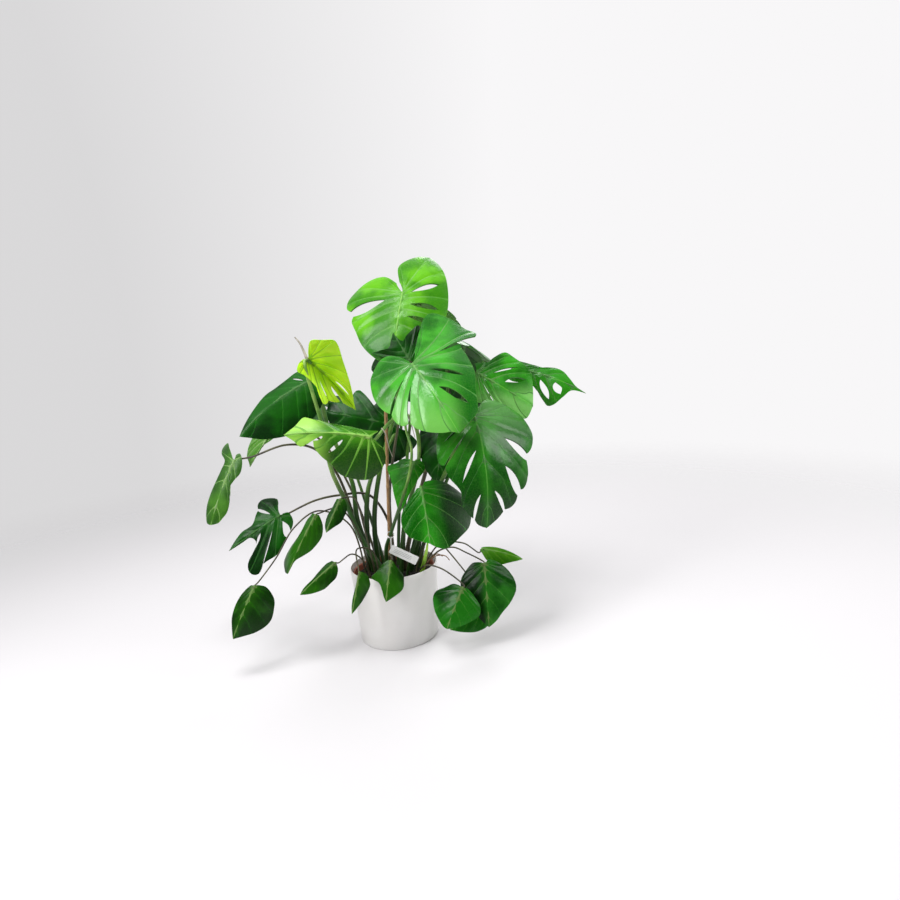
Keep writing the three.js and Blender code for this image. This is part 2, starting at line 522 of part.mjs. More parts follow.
    width: 200, droop: 30, fold: [-8, -8], left: '-v--', right: '--v-', colour: 0x2f7d3a },
  { name: 'back_left', form: 'few', root: [-36, 66], via: [[-90, 130, 400]], stalk: [6, 2.8],
    joint: [-170, 180, 660], tip: [-280, 260, 570], face: [-0.4, 0.5, 0.8], width: 200, droop: 30,
    fold: [-8, -8], left: '-v--', right: '-vv-', colour: 0x2f7d3a },

  // Small whole leaves, low round the pot.
  { name: 'centre_small', form: 'heart', root: [22, -25], via: [[40, -40, 300], [60, -70, 440]],
    stalk: [4, 2.4], joint: [91, -98, 504], tip: [41, -132, 379], face: [-0.1, -0.8, 0.6],
    width: 119, droop: 40, fold: [-12, -12], leftMargin: [[0.06, -0.06], [0.2, -0.01],
      [0.26, 0.11], [0.2, 0.3], [0.13, 0.54], [0.08, 0.8], [0, 1]], rightMargin: [[0.14, -0.02],
      [0.33, -0.01], [0.49, 0.08], [0.71, 0.2], [0.45, 0.45], [0.24, 0.69], [0.08, 0.89], [0, 1]],
    colour: 0x2f8a3e },
  { name: 'centre_heart', form: 'heart', root: [38, -35], via: [[80, -60, 300], [125, -115, 400]],
    stalk: [4, 2.4], joint: [105, -184, 456], tip: [117, -240, 331], face: [0.2, -1, 0.3],
    width: 182, droop: 20, fold: [-20, -6], leftMargin: [[0.06, -0.1], [0.22, -0.15],
      [0.45, -0.14], [0.69, -0.02], [0.87, 0.19], [0.94, 0.49], [0.83, 0.79], [0.53, 0.98],
      [0.27, 1.13], [0.11, 1.09], [0, 1]], rightMargin: [[0.06, 0.01], [0.15, 0.15], [0.25, 0.3],
      [0.32, 0.45], [0.33, 0.62], [0.28, 0.79], [0.2, 0.88], [0, 1]], colour: 0x2f8a3e },
  { name: 'oval', form: 'oval', root: [-78, -12],
    via: [[-109, 0, 323], [-182, -40, 380], [-240, -80, 350], [-284, -120, 286]], stalk: [2.6, 1.7],
    joint: [-329, -170, 238], tip: [-391, -200, 114], face: [-0.1, -1, 0.25], width: 118, droop: 20,
    fold: [-8, -8], leftMargin: [[0.06, -0.02], [0.23, -0.04], [0.4, 0.04], [0.54, 0.17],
      [0.6, 0.38], [0.56, 0.59], [0.4, 0.76], [0.19, 0.89], [0, 1]], rightMargin: [[0.08, 0.03],
      [0.16, 0.15], [0.21, 0.29], [0.23, 0.48], [0.2, 0.66], [0.11, 0.83], [0, 1]],
    colour: 0x3f9a2c },
  { name: 'low_b', form: 'oval', root: [-64, -32], via: [[-85, -40, 320], [-120, -70, 390]],
    stalk: [2.6, 1.8], joint: [-169, -120, 393], tip: [-247, -160, 256], face: [-0.3, -0.9, 0.3],
    width: 100, droop: 20, fold: [-30, -30], leftMargin: [[0.08, -0.01], [0.3, 0.11], [0.4, 0.3],
      [0.34, 0.51], [0.18, 0.66], [0.06, 0.76], [0.01, 0.88], [0, 1]], rightMargin: [[0.16, 0],
      [0.28, 0.17], [0.27, 0.35], [0.36, 0.58], [0.7, 0.84], [0.22, 1.01], [0, 1]],
    colour: 0x2f7a2c },
  { name: 'low_c', form: 'oval', root: [-46, -45], via: [[-60, -60, 320], [-75, -90, 420]],
    stalk: [2.6, 1.7], joint: [-102, -120, 429], tip: [-140, -160, 354], face: [-0.2, -0.95, 0.3],
    width: 66, droop: 20, fold: [-20, -20], leftMargin: [[0.12, -0.02], [0.34, 0.12], [0.43, 0.4],
      [0.36, 0.63], [0.18, 0.82], [0, 1]],
    rightMargin: [[0.17, 0.04], [0.2, 0.32], [0.27, 0.6], [0.18, 0.84], [0, 1]], colour: 0x3f8a2c },
  { name: 'low_d', form: 'oval', root: [-58, -58], via: [[-70, -70, 240], [-95, -105, 275]],
    stalk: [2.4, 1.6], joint: [-132, -125, 264], tip: [-221, -170, 202], face: [-0.2, -0.8, 0.55],
    width: 80, droop: 20, fold: [-25, -25], leftMargin: [[0.07, 0.01], [0.26, 0.08], [0.4, 0.24],
      [0.42, 0.45], [0.36, 0.65], [0.22, 0.83], [0, 1]], rightMargin: [[0.19, 0.03], [0.28, 0.2],
      [0.18, 0.43], [0.11, 0.65], [0.11, 0.85], [0, 1]], colour: 0x2a6a26 },
  { name: 'front_a', form: 'oval', root: [-34, -62], via: [[-45, -65, 265], [-80, -100, 285]],
    stalk: [2.4, 1.6], joint: [-72, -148, 244], tip: [-96, -180, 145], face: [0.3, -1, 0.2],
    width: 72, droop: 20, fold: [-10, -50], leftMargin: [[0.12, 0.01], [0.33, 0.06], [0.51, 0.24],
      [0.47, 0.44], [0.32, 0.66], [0.15, 0.85], [0, 1]],
    rightMargin: [[0.03, 0.05], [0.03, 0.23], [0.05, 0.46], [0.08, 0.77], [0, 1]], colour: 0x3f9a34 },
  { name: 'front_b', form: 'heart', root: [-5, -55], via: [[-2, -70, 250]], stalk: [2.8, 1.8],
    joint: [8, -122, 257], tip: [-10, -165, 163], face: [-0.1, -1, 0.4], width: 92, droop: 24,
    fold: [-14, -14], leftMargin: [[0.06, 0.02], [0.19, 0.15], [0.4, 0.32], [0.45, 0.49],
      [0.42, 0.69], [0.23, 0.85], [0, 1]], rightMargin: [[0.09, 0], [0.24, 0.1], [0.41, 0.28],
      [0.58, 0.46], [0.29, 0.57], [0.16, 0.73], [0.08, 0.89], [0, 1]], colour: 0x2f7a2c },
  { name: 'right_a', form: 'heart', root: [66, -54], via: [[90, -70, 215], [135, -98, 213]],
    stalk: [2.6, 1.7], joint: [186, -130, 172], tip: [137, -170, 80], face: [-0.2, -1, 0.5],
    width: 125, droop: 30, fold: [-12, -12], leftMargin: [[0.11, -0.01], [0.31, 0.09],
      [0.48, 0.23], [0.55, 0.43], [0.4, 0.68], [0.2, 0.88], [0, 1]], rightMargin: [[0.1, -0.01],
      [0.24, 0], [0.4, 0.13], [0.57, 0.28], [0.6, 0.49], [0.47, 0.71], [0.28, 0.87], [0.11, 0.98],
      [0, 1]], colour: 0x2f8a3a },
  { name: 'right_b', form: 'heart', root: [62, -10], via: [[112, -30, 285], [146, -58, 258]],
    stalk: [2.6, 1.7], joint: [254, -75, 89], tip: [143, -110, 47], face: [0, -0.8, 0.6],
    width: 105, droop: 20, fold: [-10, -10], leftMargin: [[0.16, 0.02], [0.35, 0.16],
      [0.42, 0.35], [0.36, 0.58], [0.2, 0.81], [0, 1]], rightMargin: [[0.17, -0.05], [0.33, 0.12],
      [0.41, 0.35], [0.32, 0.6], [0.18, 0.84], [0, 1]], colour: 0x4f8a5a },
  { name: 'right_c', form: 'heart', root: [84, -14],
    via: [[125, -25, 235], [167, -30, 246], [204, -45, 232]], stalk: [2.6, 1.7],
    joint: [247, -75, 211], tip: [245, -140, 61], face: [0, -1, 0.4], width: 170, droop: 30,
    fold: [-12, -12], leftMargin: [[0.08, -0.07], [0.23, -0.02], [0.38, 0.09], [0.49, 0.26],
      [0.51, 0.45], [0.39, 0.65], [0.24, 0.79], [0.12, 0.92], [0, 1]],
    rightMargin: [[0.05, -0.02], [0.18, -0.03], [0.3, 0.07], [0.4, 0.21], [0.41, 0.36],
      [0.35, 0.51], [0.28, 0.65], [0.19, 0.79], [0.09, 0.92], [0, 1]], colour: 0x2a7a3a },
  { name: 'right_point', form: 'heart', root: [86, 8], via: [[130, 20, 240], [197, 15, 240]],
    stalk: [2.6, 1.7], joint: [245, 5, 222], tip: [356, -25, 194], face: [0, -0.2, 1], width: 76,
    droop: 20, fold: [30, -50], curl: [0, 20], leftMargin: [[0.06, 0], [0.12, 0.12], [0.15, 0.35],
      [0.13, 0.6], [0.06, 0.85], [0, 1]], rightMargin: [[0, -0.03], [0.14, 0.03], [0.4, 0.2],
      [0.45, 0.44], [0.31, 0.69], [0.14, 0.88], [0, 1]], colour: 0x5fae3a },
  { name: 'curled', form: 'few', root: [4, -2], via: [[8, 0, 400], [60, -30, 620]],
    stalk: [4.5, 2.6], joint: [100, -70, 754], tip: [62, -55, 827], face: [0, -1, -0.1], width: 113,
    droop: 10, fold: [-4, 4], left: '----', right: '----', leftMargin: [[0.02, 0.05],
      [0.19, 0.23], [0.35, 0.43], [0.56, 0.65], [0.73, 0.92], [0.49, 0.81], [0.27, 0.69],
      [0.13, 0.84], [0, 1]], rightMargin: [[0.03, -0.06], [0.34, 0.26], [0.56, 0.62],
      [0.57, 0.77], [0.44, 0.77], [0.23, 0.7], [0.09, 0.62], [0.03, 0.77], [0, 1]],
    colour: 0x15320e },
];

function leafMesh(leaf) {
  const { solid, frame } = blade(leaf);
  const curve = petioleCurve(leaf, frame);
  let whole = solid.add(petiole(leaf, curve, 0));
  if (leaf.spur) {
    const start = frame.joint.clone().addScaledVector(frame.face, -leaf.stalk[1]);
    const spur = new THREE.CatmullRomCurve3([start, ...leaf.spur.map(point)]);
    const radiusAt = (place) => THREE.MathUtils.lerp(SPUR_RADIUS, SPUR_TIP_RADIUS, place);
    whole = whole.add(solidOf(taperedTube(spur, [0, 0.5, 1], radiusAt, PETIOLE_SIDES)));
  }
  return { solid: whole, curve };
}

const group = new THREE.Group();

function addNode(name, solid, colour, roughness, metalness = 0) {
  const material = new THREE.MeshStandardMaterial({ color: colour, roughness, metalness });
  const mesh = new THREE.Mesh(geometryOf(solid), material);
  mesh.name = name;
  group.add(mesh);
}

// The white cover pot: a thin tapered wall on a flat floor.
addNode('cover_pot', turned([
  [0, 0], [POT_FOOT_RADIUS - EDGE_ROUND, 0], [POT_FOOT_RADIUS, EDGE_ROUND],
  [POT_RIM_RADIUS, POT_HEIGHT - EDGE_ROUND], [POT_RIM_RADIUS - EDGE_ROUND, POT_HEIGHT],
  [POT_RIM_RADIUS - POT_WALL, POT_HEIGHT],
  [POT_FOOT_RADIUS - POT_WALL, POT_FLOOR], [0, POT_FLOOR],
]), 0xf4f3f0, 0.4);

// The brown nursery pot stands inside it, with an outward lip and a flat floor.
const innerBase = POT_FLOOR + GAP;
const innerTop = INNER_HEIGHT + INNER_LIP;
const innerFloor = innerBase + INNER_WALL;
const innerSlope = (INNER_NECK_RADIUS - INNER_FOOT_RADIUS) / (innerTop - innerFloor);
addNode('nursery_pot', turned([
  [0, innerBase], [INNER_FOOT_RADIUS, innerBase], [INNER_NECK_RADIUS, INNER_HEIGHT],
  [INNER_RIM_RADIUS, INNER_HEIGHT], [INNER_RIM_RADIUS, innerTop],
  [INNER_NECK_RADIUS - INNER_WALL, innerTop], [INNER_FOOT_RADIUS - INNER_WALL, innerFloor],
  [0, innerFloor],
]), 0x9a4f35, 0.6);

// The soil fills the nursery pot, with a plain hole for each petiole, the stake and the shoot.
const soilFoot = INNER_FOOT_RADIUS - INNER_WALL - GAP;
const soilEdge = SOIL_TOP - SOIL_EDGE_DROP;
let soil = turned([
  [0, innerFloor + GAP], [soilFoot, innerFloor + GAP],
  [soilFoot + innerSlope * (soilEdge - innerFloor), soilEdge], [SOIL_CROWN_RADIUS, SOIL_TOP],
  [0, SOIL_TOP + SOIL_CROWN],
]);

const petioles = {};
for (const leaf of LEAVES) {
  const { solid, curve } = leafMesh(leaf);
  addNode(`leaf_${leaf.name}`, solid, leaf.colour, 0.35);
  soil = soil.subtract(rootHole(leaf, curve));
  petioles[leaf.name] = { leaf, curve };
}

// A bamboo stake stands in the soil between the stems, with slightly raised nodes.
const stakeFoot = point(STAKE_FOOT);
const stakeLength = stakeFoot.distanceTo(point(STAKE_TOP));
const stakeProfile = [[0, 0], [STAKE_RADIUS, 0]];
for (const knot of STAKE_KNOTS) {
  const height = knot * stakeLength;
  stakeProfile.push([STAKE_RADIUS, height - STAKE_KNOT_REACH]);
  stakeProfile.push([STAKE_RADIUS + STAKE_KNOT_RISE, height]);
  stakeProfile.push([STAKE_RADIUS, height + STAKE_KNOT_REACH]);
}
stakeProfile.push([STAKE_RADIUS, stakeLength], [0, stakeLength]);
const stakeAim = new THREE.Quaternion().setFromUnitVectors(
  new THREE.Vector3(0, 0, 1),
  point(STAKE_TOP).sub(stakeFoot).normalize(),
);

function stakeSolid(profile) {
  const outline = profile.map(([radius, height]) => new THREE.Vector2(radius, height));
  const geometry = new THREE.LatheGeometry(outline, STAKE_SIDES).rotateX(Math.PI / 2);
  geometry.applyQuaternion(stakeAim);
  geometry.translate(...stakeFoot.toArray());
  return solidOf(geometry);
}

addNode('bamboo_stake', stakeSolid(stakeProfile), 0xa9855a, 0.7);
soil = soil.subtract(stakeSolid([
  [0, -GAP], [STAKE_RADIUS + HOLE_CLEARANCE, -GAP],
  [STAKE_RADIUS + HOLE_CLEARANCE, SOIL_TOP], [0, SOIL_TOP],
]));

// A new shoot, still rolled to a spear, with two aerial roots that reach out over the rim.
const shootCurve = new THREE.CatmullRomCurve3(SHOOT.map(point), false, 'centripetal');
const shootRadius = (place) => (
  THREE.MathUtils.lerp(SHOOT_RADIUS, SHOOT_TIP_RADIUS, Math.max(0, 2 * place - 1))
);
let shoot = solidOf(taperedTube(shootCurve, [0.005, 0.25, 0.5, 0.75, 1], shootRadius, SHOOT_SIDES));
for (const route of AERIAL_ROOTS) {
  const curve = new THREE.CatmullRomCurve3(route.map(point), false, 'centripetal');
  const radiusAt = (place) => (
    THREE.MathUtils.lerp(AERIAL_ROOT_RADIUS, AERIAL_ROOT_TIP_RADIUS, place)
  );
  const root = taperedTube(curve, [0, 0.25, 0.5, 0.75, 1], radiusAt, AERIAL_ROOT_SIDES);
  shoot = shoot.add(solidOf(root));
}
addNode('new_shoot', shoot, 0xa6d64a, 0.4);
const shootHole = () => SHOOT_RADIUS + HOLE_CLEARANCE;
soil = soil.subtract(solidOf(taperedTube(shootCurve, [0, 0.25, 0.5], shootHole, SHOOT_SIDES)));
addNode('soil', soil, 0x2b1d14, 0.95);

// A blank white plant label hangs from a loop round the petiole of the glossy leaf.
const { leaf: labelled, curve: hanger } = petioles[LABEL_ON];
const loopCentre = hanger.getPointAt(LABEL_LOOP_PLACE);
const loopAim = new THREE.Quaternion().setFromUnitVectors(
  new THREE.Vector3(0, 1, 0),
  hanger.getTangentAt(LABEL_LOOP_PLACE),
);
const loop = new THREE.CylinderGeometry(LABEL_LOOP_RADIUS, LABEL_LOOP_RADIUS, LABEL_TAIL, 10);
loop.applyQuaternion(loopAim).translate(...loopCentre.toArray());
const plate = new THREE.BoxGeometry(LABEL_LENGTH, LABEL_THICKNESS, LABEL_WIDTH);
plate.rotateY(radians(LABEL_TILT)).translate(...LABEL_CENTRE);
const plateEnd = point(LABEL_CENTRE).add(new THREE.Vector3(LABEL_INSET - LABEL_LENGTH / 2, 0, 0)
  .applyAxisAngle(new THREE.Vector3(0, 1, 0), radians(LABEL_TILT)));
const tailAim = new THREE.Quaternion().setFromUnitVectors(
  new THREE.Vector3(1, 0, 0),
  plateEnd.clone().sub(loopCentre).normalize(),
);
const tail = new THREE.BoxGeometry(plateEnd.distanceTo(loopCentre), LABEL_THICKNESS, LABEL_TAIL);
tail.applyQuaternion(tailAim).translate(...plateEnd.clone().add(loopCentre).multiplyScalar(0.5).toArray());
addNode('label', solidOf(loop).add(solidOf(tail)).add(solidOf(plate))
  .subtract(petiole(labelled, hanger, GAP)), 0xf7f7f5, 0.5);

export default group;
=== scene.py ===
import math
import random

import bmesh
import bpy
from mathutils import Matrix, Vector, noise


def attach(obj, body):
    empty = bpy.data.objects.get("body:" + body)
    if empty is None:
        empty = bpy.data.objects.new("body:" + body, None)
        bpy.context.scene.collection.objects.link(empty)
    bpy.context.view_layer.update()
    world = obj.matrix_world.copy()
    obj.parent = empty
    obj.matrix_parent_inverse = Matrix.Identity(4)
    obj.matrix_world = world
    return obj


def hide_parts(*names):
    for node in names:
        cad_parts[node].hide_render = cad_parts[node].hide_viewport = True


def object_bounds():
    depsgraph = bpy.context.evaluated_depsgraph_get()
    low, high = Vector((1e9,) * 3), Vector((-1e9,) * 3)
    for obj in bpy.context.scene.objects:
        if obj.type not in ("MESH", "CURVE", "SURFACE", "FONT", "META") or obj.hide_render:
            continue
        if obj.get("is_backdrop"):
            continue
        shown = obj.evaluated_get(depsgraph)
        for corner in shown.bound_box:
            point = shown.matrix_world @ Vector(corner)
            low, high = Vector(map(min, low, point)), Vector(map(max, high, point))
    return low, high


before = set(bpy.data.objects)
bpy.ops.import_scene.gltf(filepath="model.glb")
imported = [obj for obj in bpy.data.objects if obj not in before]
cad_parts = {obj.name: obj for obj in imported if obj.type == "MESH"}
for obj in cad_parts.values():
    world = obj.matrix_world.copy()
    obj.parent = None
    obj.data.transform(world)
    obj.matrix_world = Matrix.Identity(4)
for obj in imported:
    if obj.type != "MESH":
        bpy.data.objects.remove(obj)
cad_low, cad_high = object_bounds()
scene = bpy.context.scene

# The room: a wide pale floor that fades into a soft white backdrop, as in a bright studio.
# Four soft lights stand round it: the strongest at the upper left, others above, at the right and behind.
# The camera stands at the height of the upper leaves, looks a little down and is rolled slightly.
CAMERA_PLACE = (0.181, -1.588, 0.784)
CAMERA_TILT, CAMERA_ROLL = math.radians(80.14), math.radians(-4.62)
LENS, SENSOR = 24, 36
FLOOR_RADIUS = 9
FADE_START, FADE_END = 0.9, 3.2
scene.view_settings.view_transform = "Standard"
camera = bpy.data.objects.new("camera", bpy.data.cameras.new("camera"))
camera.data.lens = LENS
camera.data.sensor_width = SENSOR
camera.location = CAMERA_PLACE
aimed = Matrix.Rotation(CAMERA_TILT, 3, "X") @ Matrix.Rotation(CAMERA_ROLL, 3, "Z")
camera.rotation_euler = aimed.to_euler()
scene.collection.objects.link(camera)
scene.camera = camera


def tint(red, green, blue):
    """A screen colour, from 0 to 255, as the shader's linear colour."""
    channels = [value / 255 for value in (red, green, blue)]
    return tuple(c / 12.92 if c <= 0.04045 else ((c + 0.055) / 1.055) ** 2.4 for c in channels) + (1,)


def wired(tree, kind, inputs, **settings):
    """A new node with its settings, and with a plain value or another node's output at each input."""
    node = tree.nodes.new(kind)
    for setting, value in settings.items():
        setattr(node, setting, value)
    for socket, value in inputs.items():
        if isinstance(value, bpy.types.NodeSocket):
            tree.links.new(value, node.inputs[socket])
        else:
            node.inputs[socket].default_value = value
    return node


world = bpy.data.worlds.new("studio")
world.use_nodes = True
sky = world.node_tree
looking = sky.nodes.new("ShaderNodeTexCoord").outputs["Generated"]
axes = wired(sky, "ShaderNodeSeparateXYZ", {"Vector": looking}).outputs
depth = wired(sky, "ShaderNodeMapRange", {
    "Value": axes["Y"], "From Min": -0.35, "From Max": 0.45, "To Min": 0.2, "To Max": 0.97,
})
sideways = wired(sky, "ShaderNodeMapRange", {
    "Value": axes["X"], "From Min": -0.45, "From Max": 0.1, "To Min": 0.78, "To Max": 1.05,
})
dimmed = wired(sky, "ShaderNodeMath", {
    0: depth.outputs["Result"], 1: sideways.outputs["Result"],
}, operation="MULTIPLY")
backdrop = sky.nodes["Background"]
backdrop.inputs["Color"].default_value = tint(246, 245, 246)
sky.links.new(dimmed.outputs["Value"], backdrop.inputs["Strength"])
scene.world = world


def soft_light(name, place, aim, width, watts):
    """A square light that looks from its place at its aim."""
    lamp = bpy.data.lights.new(name, "AREA")
    lamp.shape = "SQUARE"
    lamp.size = width
    lamp.energy = watts
    holder = bpy.data.objects.new(name, lamp)
    holder.location = place
    holder.rotation_euler = (Vector(aim) - Vector(place)).to_track_quat("-Z", "Y").to_euler()
    scene.collection.objects.link(holder)


soft_light("key_light", (-1.9, -1.5, 2.3), aim=(0, 0, 0.5), width=1.3, watts=66)
soft_light("top_light", (-0.3, -0.75, 2.5), aim=(0, -0.1, 0.5), width=0.9, watts=36)
soft_light("side_light", (2.6, -0.6, 1.9), aim=(0.1, 0, 0.5), width=1.3, watts=34)
soft_light("back_light", (0.9, 2.1, 2.5), aim=(0.1, 0, 0.5), width=1.2, watts=34)


def new_finish(name, roughness):
    """A node material with the object's own coordinates at hand."""
    finish = bpy.data.materials.new(name)
    finish.use_nodes = True
    tree = finish.node_tree
    shader = tree.nodes["Principled BSDF"]
    shader.inputs["Roughness"].default_value = roughness
    where = tree.nodes.new("ShaderNodeTexCoord").outputs["Object"]
    return finish, tree, shader, where


def ramp(tree, value, low, high):
    """How far a value lies between two limits, from 0 to 1, with soft ends."""
    return wired(tree, "ShaderNodeMapRange", {
        "Value": value, "From Min": low, "From Max": high,
    }, interpolation_type="SMOOTHSTEP").outputs["Result"]


floor_mesh = bmesh.new()
bmesh.ops.create_circle(floor_mesh, cap_ends=True, segments=96, radius=FLOOR_RADIUS)
floor_data = bpy.data.meshes.new("floor")
floor_mesh.to_mesh(floor_data)
floor_mesh.free()
floor = bpy.data.objects.new("floor", floor_data)
scene.collection.objects.link(floor)
floor_finish, tree, shader, where = new_finish("studio_floor", roughness=0.6)
shader.inputs["Base Color"].default_value = tint(206, 204, 206)
away = wired(tree, "ShaderNodeVectorMath", {0: where}, operation="LENGTH").outputs["Value"]
clear = tree.nodes.new("ShaderNodeBsdfTransparent")
edgeless = wired(tree, "ShaderNodeMixShader", {
    "Fac": ramp(tree, away, FADE_START, FADE_END), 1: shader.outputs["BSDF"], 2: clear.outputs["BSDF"],
})
tree.links.new(edgeless.outputs["Shader"], tree.nodes["Material Output"].inputs["Surface"])
floor_data.materials.append(floor_finish)
floor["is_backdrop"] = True

# The cover pot is a smooth white glazed pot with thin walls that taper a little towards the foot.
# It is turned, with a softly rounded rim and foot, and stands on its flat underside.
POT_PROFILE = (
    (0.0, 0.0), (0.1045, 0.0), (0.1072, 0.0006), (0.1086, 0.0026), (0.1145, 0.108), (0.1189, 0.187),
    (0.12, 0.2035), (0.1194, 0.2048), (0.1184, 0.205), (0.1172, 0.2046), (0.1167, 0.2030),
    (0.1112, 0.105), (0.1056, 0.009), (0.1036, 0.0055), (0.0995, 0.005), (0.0, 0.005),
)


def turn(profile, steps):
    """A vessel spun from its profile, as a bmesh with its faces pointing outwards."""
    mesh = bmesh.new()
    rim = [mesh.verts.new((radius, 0, height)) for radius, height in profile]
    edges = [mesh.edges.new(pair) for pair in zip(rim, rim[1:])]
    bmesh.ops.spin(
        mesh, geom=rim + edges, cent=(0, 0, 0), axis=(0, 0, 1), dvec=(0, 0, 0),
        angle=2 * math.pi, steps=steps, use_merge=True, use_duplicate=False,
    )
    bmesh.ops.remove_doubles(mesh, verts=mesh.verts, dist=1e-5)
    bmesh.ops.dissolve_degenerate(mesh, dist=1e-6, edges=mesh.edges)
    bmesh.ops.recalc_face_normals(mesh, faces=mesh.faces)
    return mesh


def place_piece(name, mesh, finishes, sharp=0.7):
    """Makes the finished mesh an object that rides on the plant's one body.

    Edges that bend by more than sharp, in radians, stay crisp.
    """
    for face in mesh.faces:
        face.smooth = True
    for edge in mesh.edges:
        edge.smooth = edge.calc_face_angle(0) < sharp
    data = bpy.data.meshes.new(name)
    mesh.to_mesh(data)
    mesh.free()
    for finish in finishes:
        data.materials.append(finish)
    piece = bpy.data.objects.new(name, data)
    scene.collection.objects.link(piece)
    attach(piece, "root")
    return piece


def speckle(tree, where, scale, detail):
    """Cloudy noise from 0 to 1."""
    noise_inputs = {"Vector": where, "Scale": scale, "Detail": detail}
    return wired(tree, "ShaderNodeTexNoise", noise_inputs).outputs["Fac"]


def blended(tree, share, first, second):
    """Two colours mixed by a share; each is a colour or another mix's output."""
    return wired(tree, "ShaderNodeMix", {"Factor": share, 6: first, 7: second}, data_type="RGBA").outputs[2]


def raised(tree, shader, height, distance, strength=1.0):
    """Fine relief on a surface."""
    relief = wired(tree, "ShaderNodeBump", {"Height": height, "Distance": distance, "Strength": strength})
    tree.links.new(relief.outputs["Normal"], shader.inputs["Normal"])


glaze, tree, shader, where = new_finish("white_glaze", roughness=0.32)
cloudy = ramp(tree, speckle(tree, where, scale=7, detail=4), low=0.35, high=0.7)
white = blended(tree, cloudy, tint(228, 226, 223), tint(234, 233, 231))
tree.links.new(white, shader.inputs["Base Color"])
raised(tree, shader, speckle(tree, where, scale=60, detail=2), distance=0.0002)
shader.inputs["Coat Weight"].default_value = 0.25
shader.inputs["Coat Roughness"].default_value = 0.15
cover_pot = place_piece("white_cover_pot", turn(POT_PROFILE, steps=128), [glaze])
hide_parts("cover_pot")

# The nursery pot is a thin terracotta-brown plastic pot that the plant grew up in.
# It is moulded in one piece, with a rolled lip, and drops into the cover pot.
NURSERY_PROFILE = (
    (0.0, 0.0054), (0.086, 0.0054), (0.088, 0.0072), (0.1098, 0.1842), (0.1124, 0.1846), (0.113, 0.1852),
    (0.113, 0.1898), (0.1127, 0.1907), (0.1118, 0.191), (0.109, 0.191), (0.1083, 0.1904), (0.1079, 0.189),
    (0.0863, 0.0084), (0.0845, 0.0072), (0.0, 0.0072),
)
brown_plastic, tree, shader, where = new_finish("terracotta_plastic", roughness=0.55)
stained = ramp(tree, speckle(tree, where, scale=25, detail=5), low=0.4, high=0.7)
tree.links.new(blended(tree, stained, tint(140, 72, 50), tint(166, 92, 66)), shader.inputs["Base Color"])
raised(tree, shader, speckle(tree, where, scale=220, detail=2), distance=0.0002)
nursery_pot = place_piece("brown_nursery_pot", turn(NURSERY_PROFILE, steps=96), [brown_plastic])
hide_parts("nursery_pot")

# The soil is dark, damp potting compost, loose and lumpy on top with crumbs and bits of bark.
# It fills the nursery pot to just below its lip.
SOIL_PROFILE = ((0.0, 0.0076), (0.0857, 0.0076), (0.1054, 0.172), (0.1052, 0.174))
SOIL_TOP, SOIL_RADIUS = 0.1775, 0.1052
RINGS, RING_STEP = 29, 0.0035
LUMP, LUMP_FINENESS, LUMP_FADE, LUMP_STEP, LUMP_LAYERS = 0.0022, 90, 0.9, 2.2, 4
KNOLL, KNOLL_FINENESS = 0.002, 28
CRUMBS, CRUMB_REACH = 700, 0.103
CRUMB_SIZES = (0.0012, 0.0016, 0.0022, 0.003)
CRUMB_SHAPES = ((0.7, 1.6), (0.6, 1.1), (0.5, 0.9))
CRUMB_REST = 0.35
random.seed(7)
ground = turn(SOIL_PROFILE, steps=96)
ring = [edge for edge in ground.edges if edge.is_boundary]
for step in range(1, RINGS + 1):
    radius = SOIL_RADIUS - RING_STEP * step
    grown = bmesh.ops.extrude_edge_only(ground, edges=ring)["geom"]
    ring = [item for item in grown if isinstance(item, bmesh.types.BMEdge)]
    for vertex in (item for item in grown if isinstance(item, bmesh.types.BMVert)):
        around = math.atan2(vertex.co.y, vertex.co.x)
        spot = Vector((radius * math.cos(around), radius * math.sin(around), 0))
        lump = noise.fractal(spot * LUMP_FINENESS, LUMP_FADE, LUMP_STEP, LUMP_LAYERS)
        rise = LUMP * lump + KNOLL * noise.noise(spot * KNOLL_FINENESS)
        vertex.co = spot + Vector((0, 0, SOIL_TOP + rise))
bmesh.ops.holes_fill(ground, edges=ring)
bmesh.ops.recalc_face_normals(ground, faces=ground.faces)
for crumb in range(CRUMBS):
    distance, around = CRUMB_REACH * math.sqrt(random.random()), random.uniform(0, 2 * math.pi)
    size = random.choice(CRUMB_SIZES)
    spot = Vector((distance * math.cos(around), distance * math.sin(around), SOIL_TOP + size * CRUMB_REST))
    angle = random.uniform(0, 6)
    tilt = Matrix.Rotation(angle, 4, (random.random(), random.random(), random.random() + 0.1))
    sizes = [random.uniform(*limits) for limits in CRUMB_SHAPES]
    crumb_place = Matrix.Translation(spot) @ tilt @ Matrix.Diagonal((*sizes, 1))
    bmesh.ops.create_icosphere(ground, subdivisions=1, radius=size, matrix=crumb_place)
earth, tree, shader, where = new_finish("potting_soil", roughness=0.95)
grain = speckle(tree, where, scale=300, detail=6)
browns = blended(tree, ramp(tree, grain, low=0.35, high=0.75), tint(8, 6, 4), tint(34, 25, 18))
tree.links.new(browns, shader.inputs["Base Color"])
raised(tree, shader, grain, distance=0.001)
soil = place_piece("potting_soil", ground, [earth], sharp=1.2)
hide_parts("soil")

# The stake is a length of dry bamboo cane, pushed into the soil between the stems.
# It has slightly swollen rings where the cane's joints are.
STAKE_FOOT, STAKE_TOP = Vector((-0.019, 0.004, 0.09)), Vector((0.027, -0.07, 0.64))
STAKE_RADIUS = 0.004
STAKE_KNOTS = (0.34, 0.62, 0.86)
KNOT_SWELL, KNOT_LENGTH = 0.0008, 0.006
STAKE_STEPS = 260


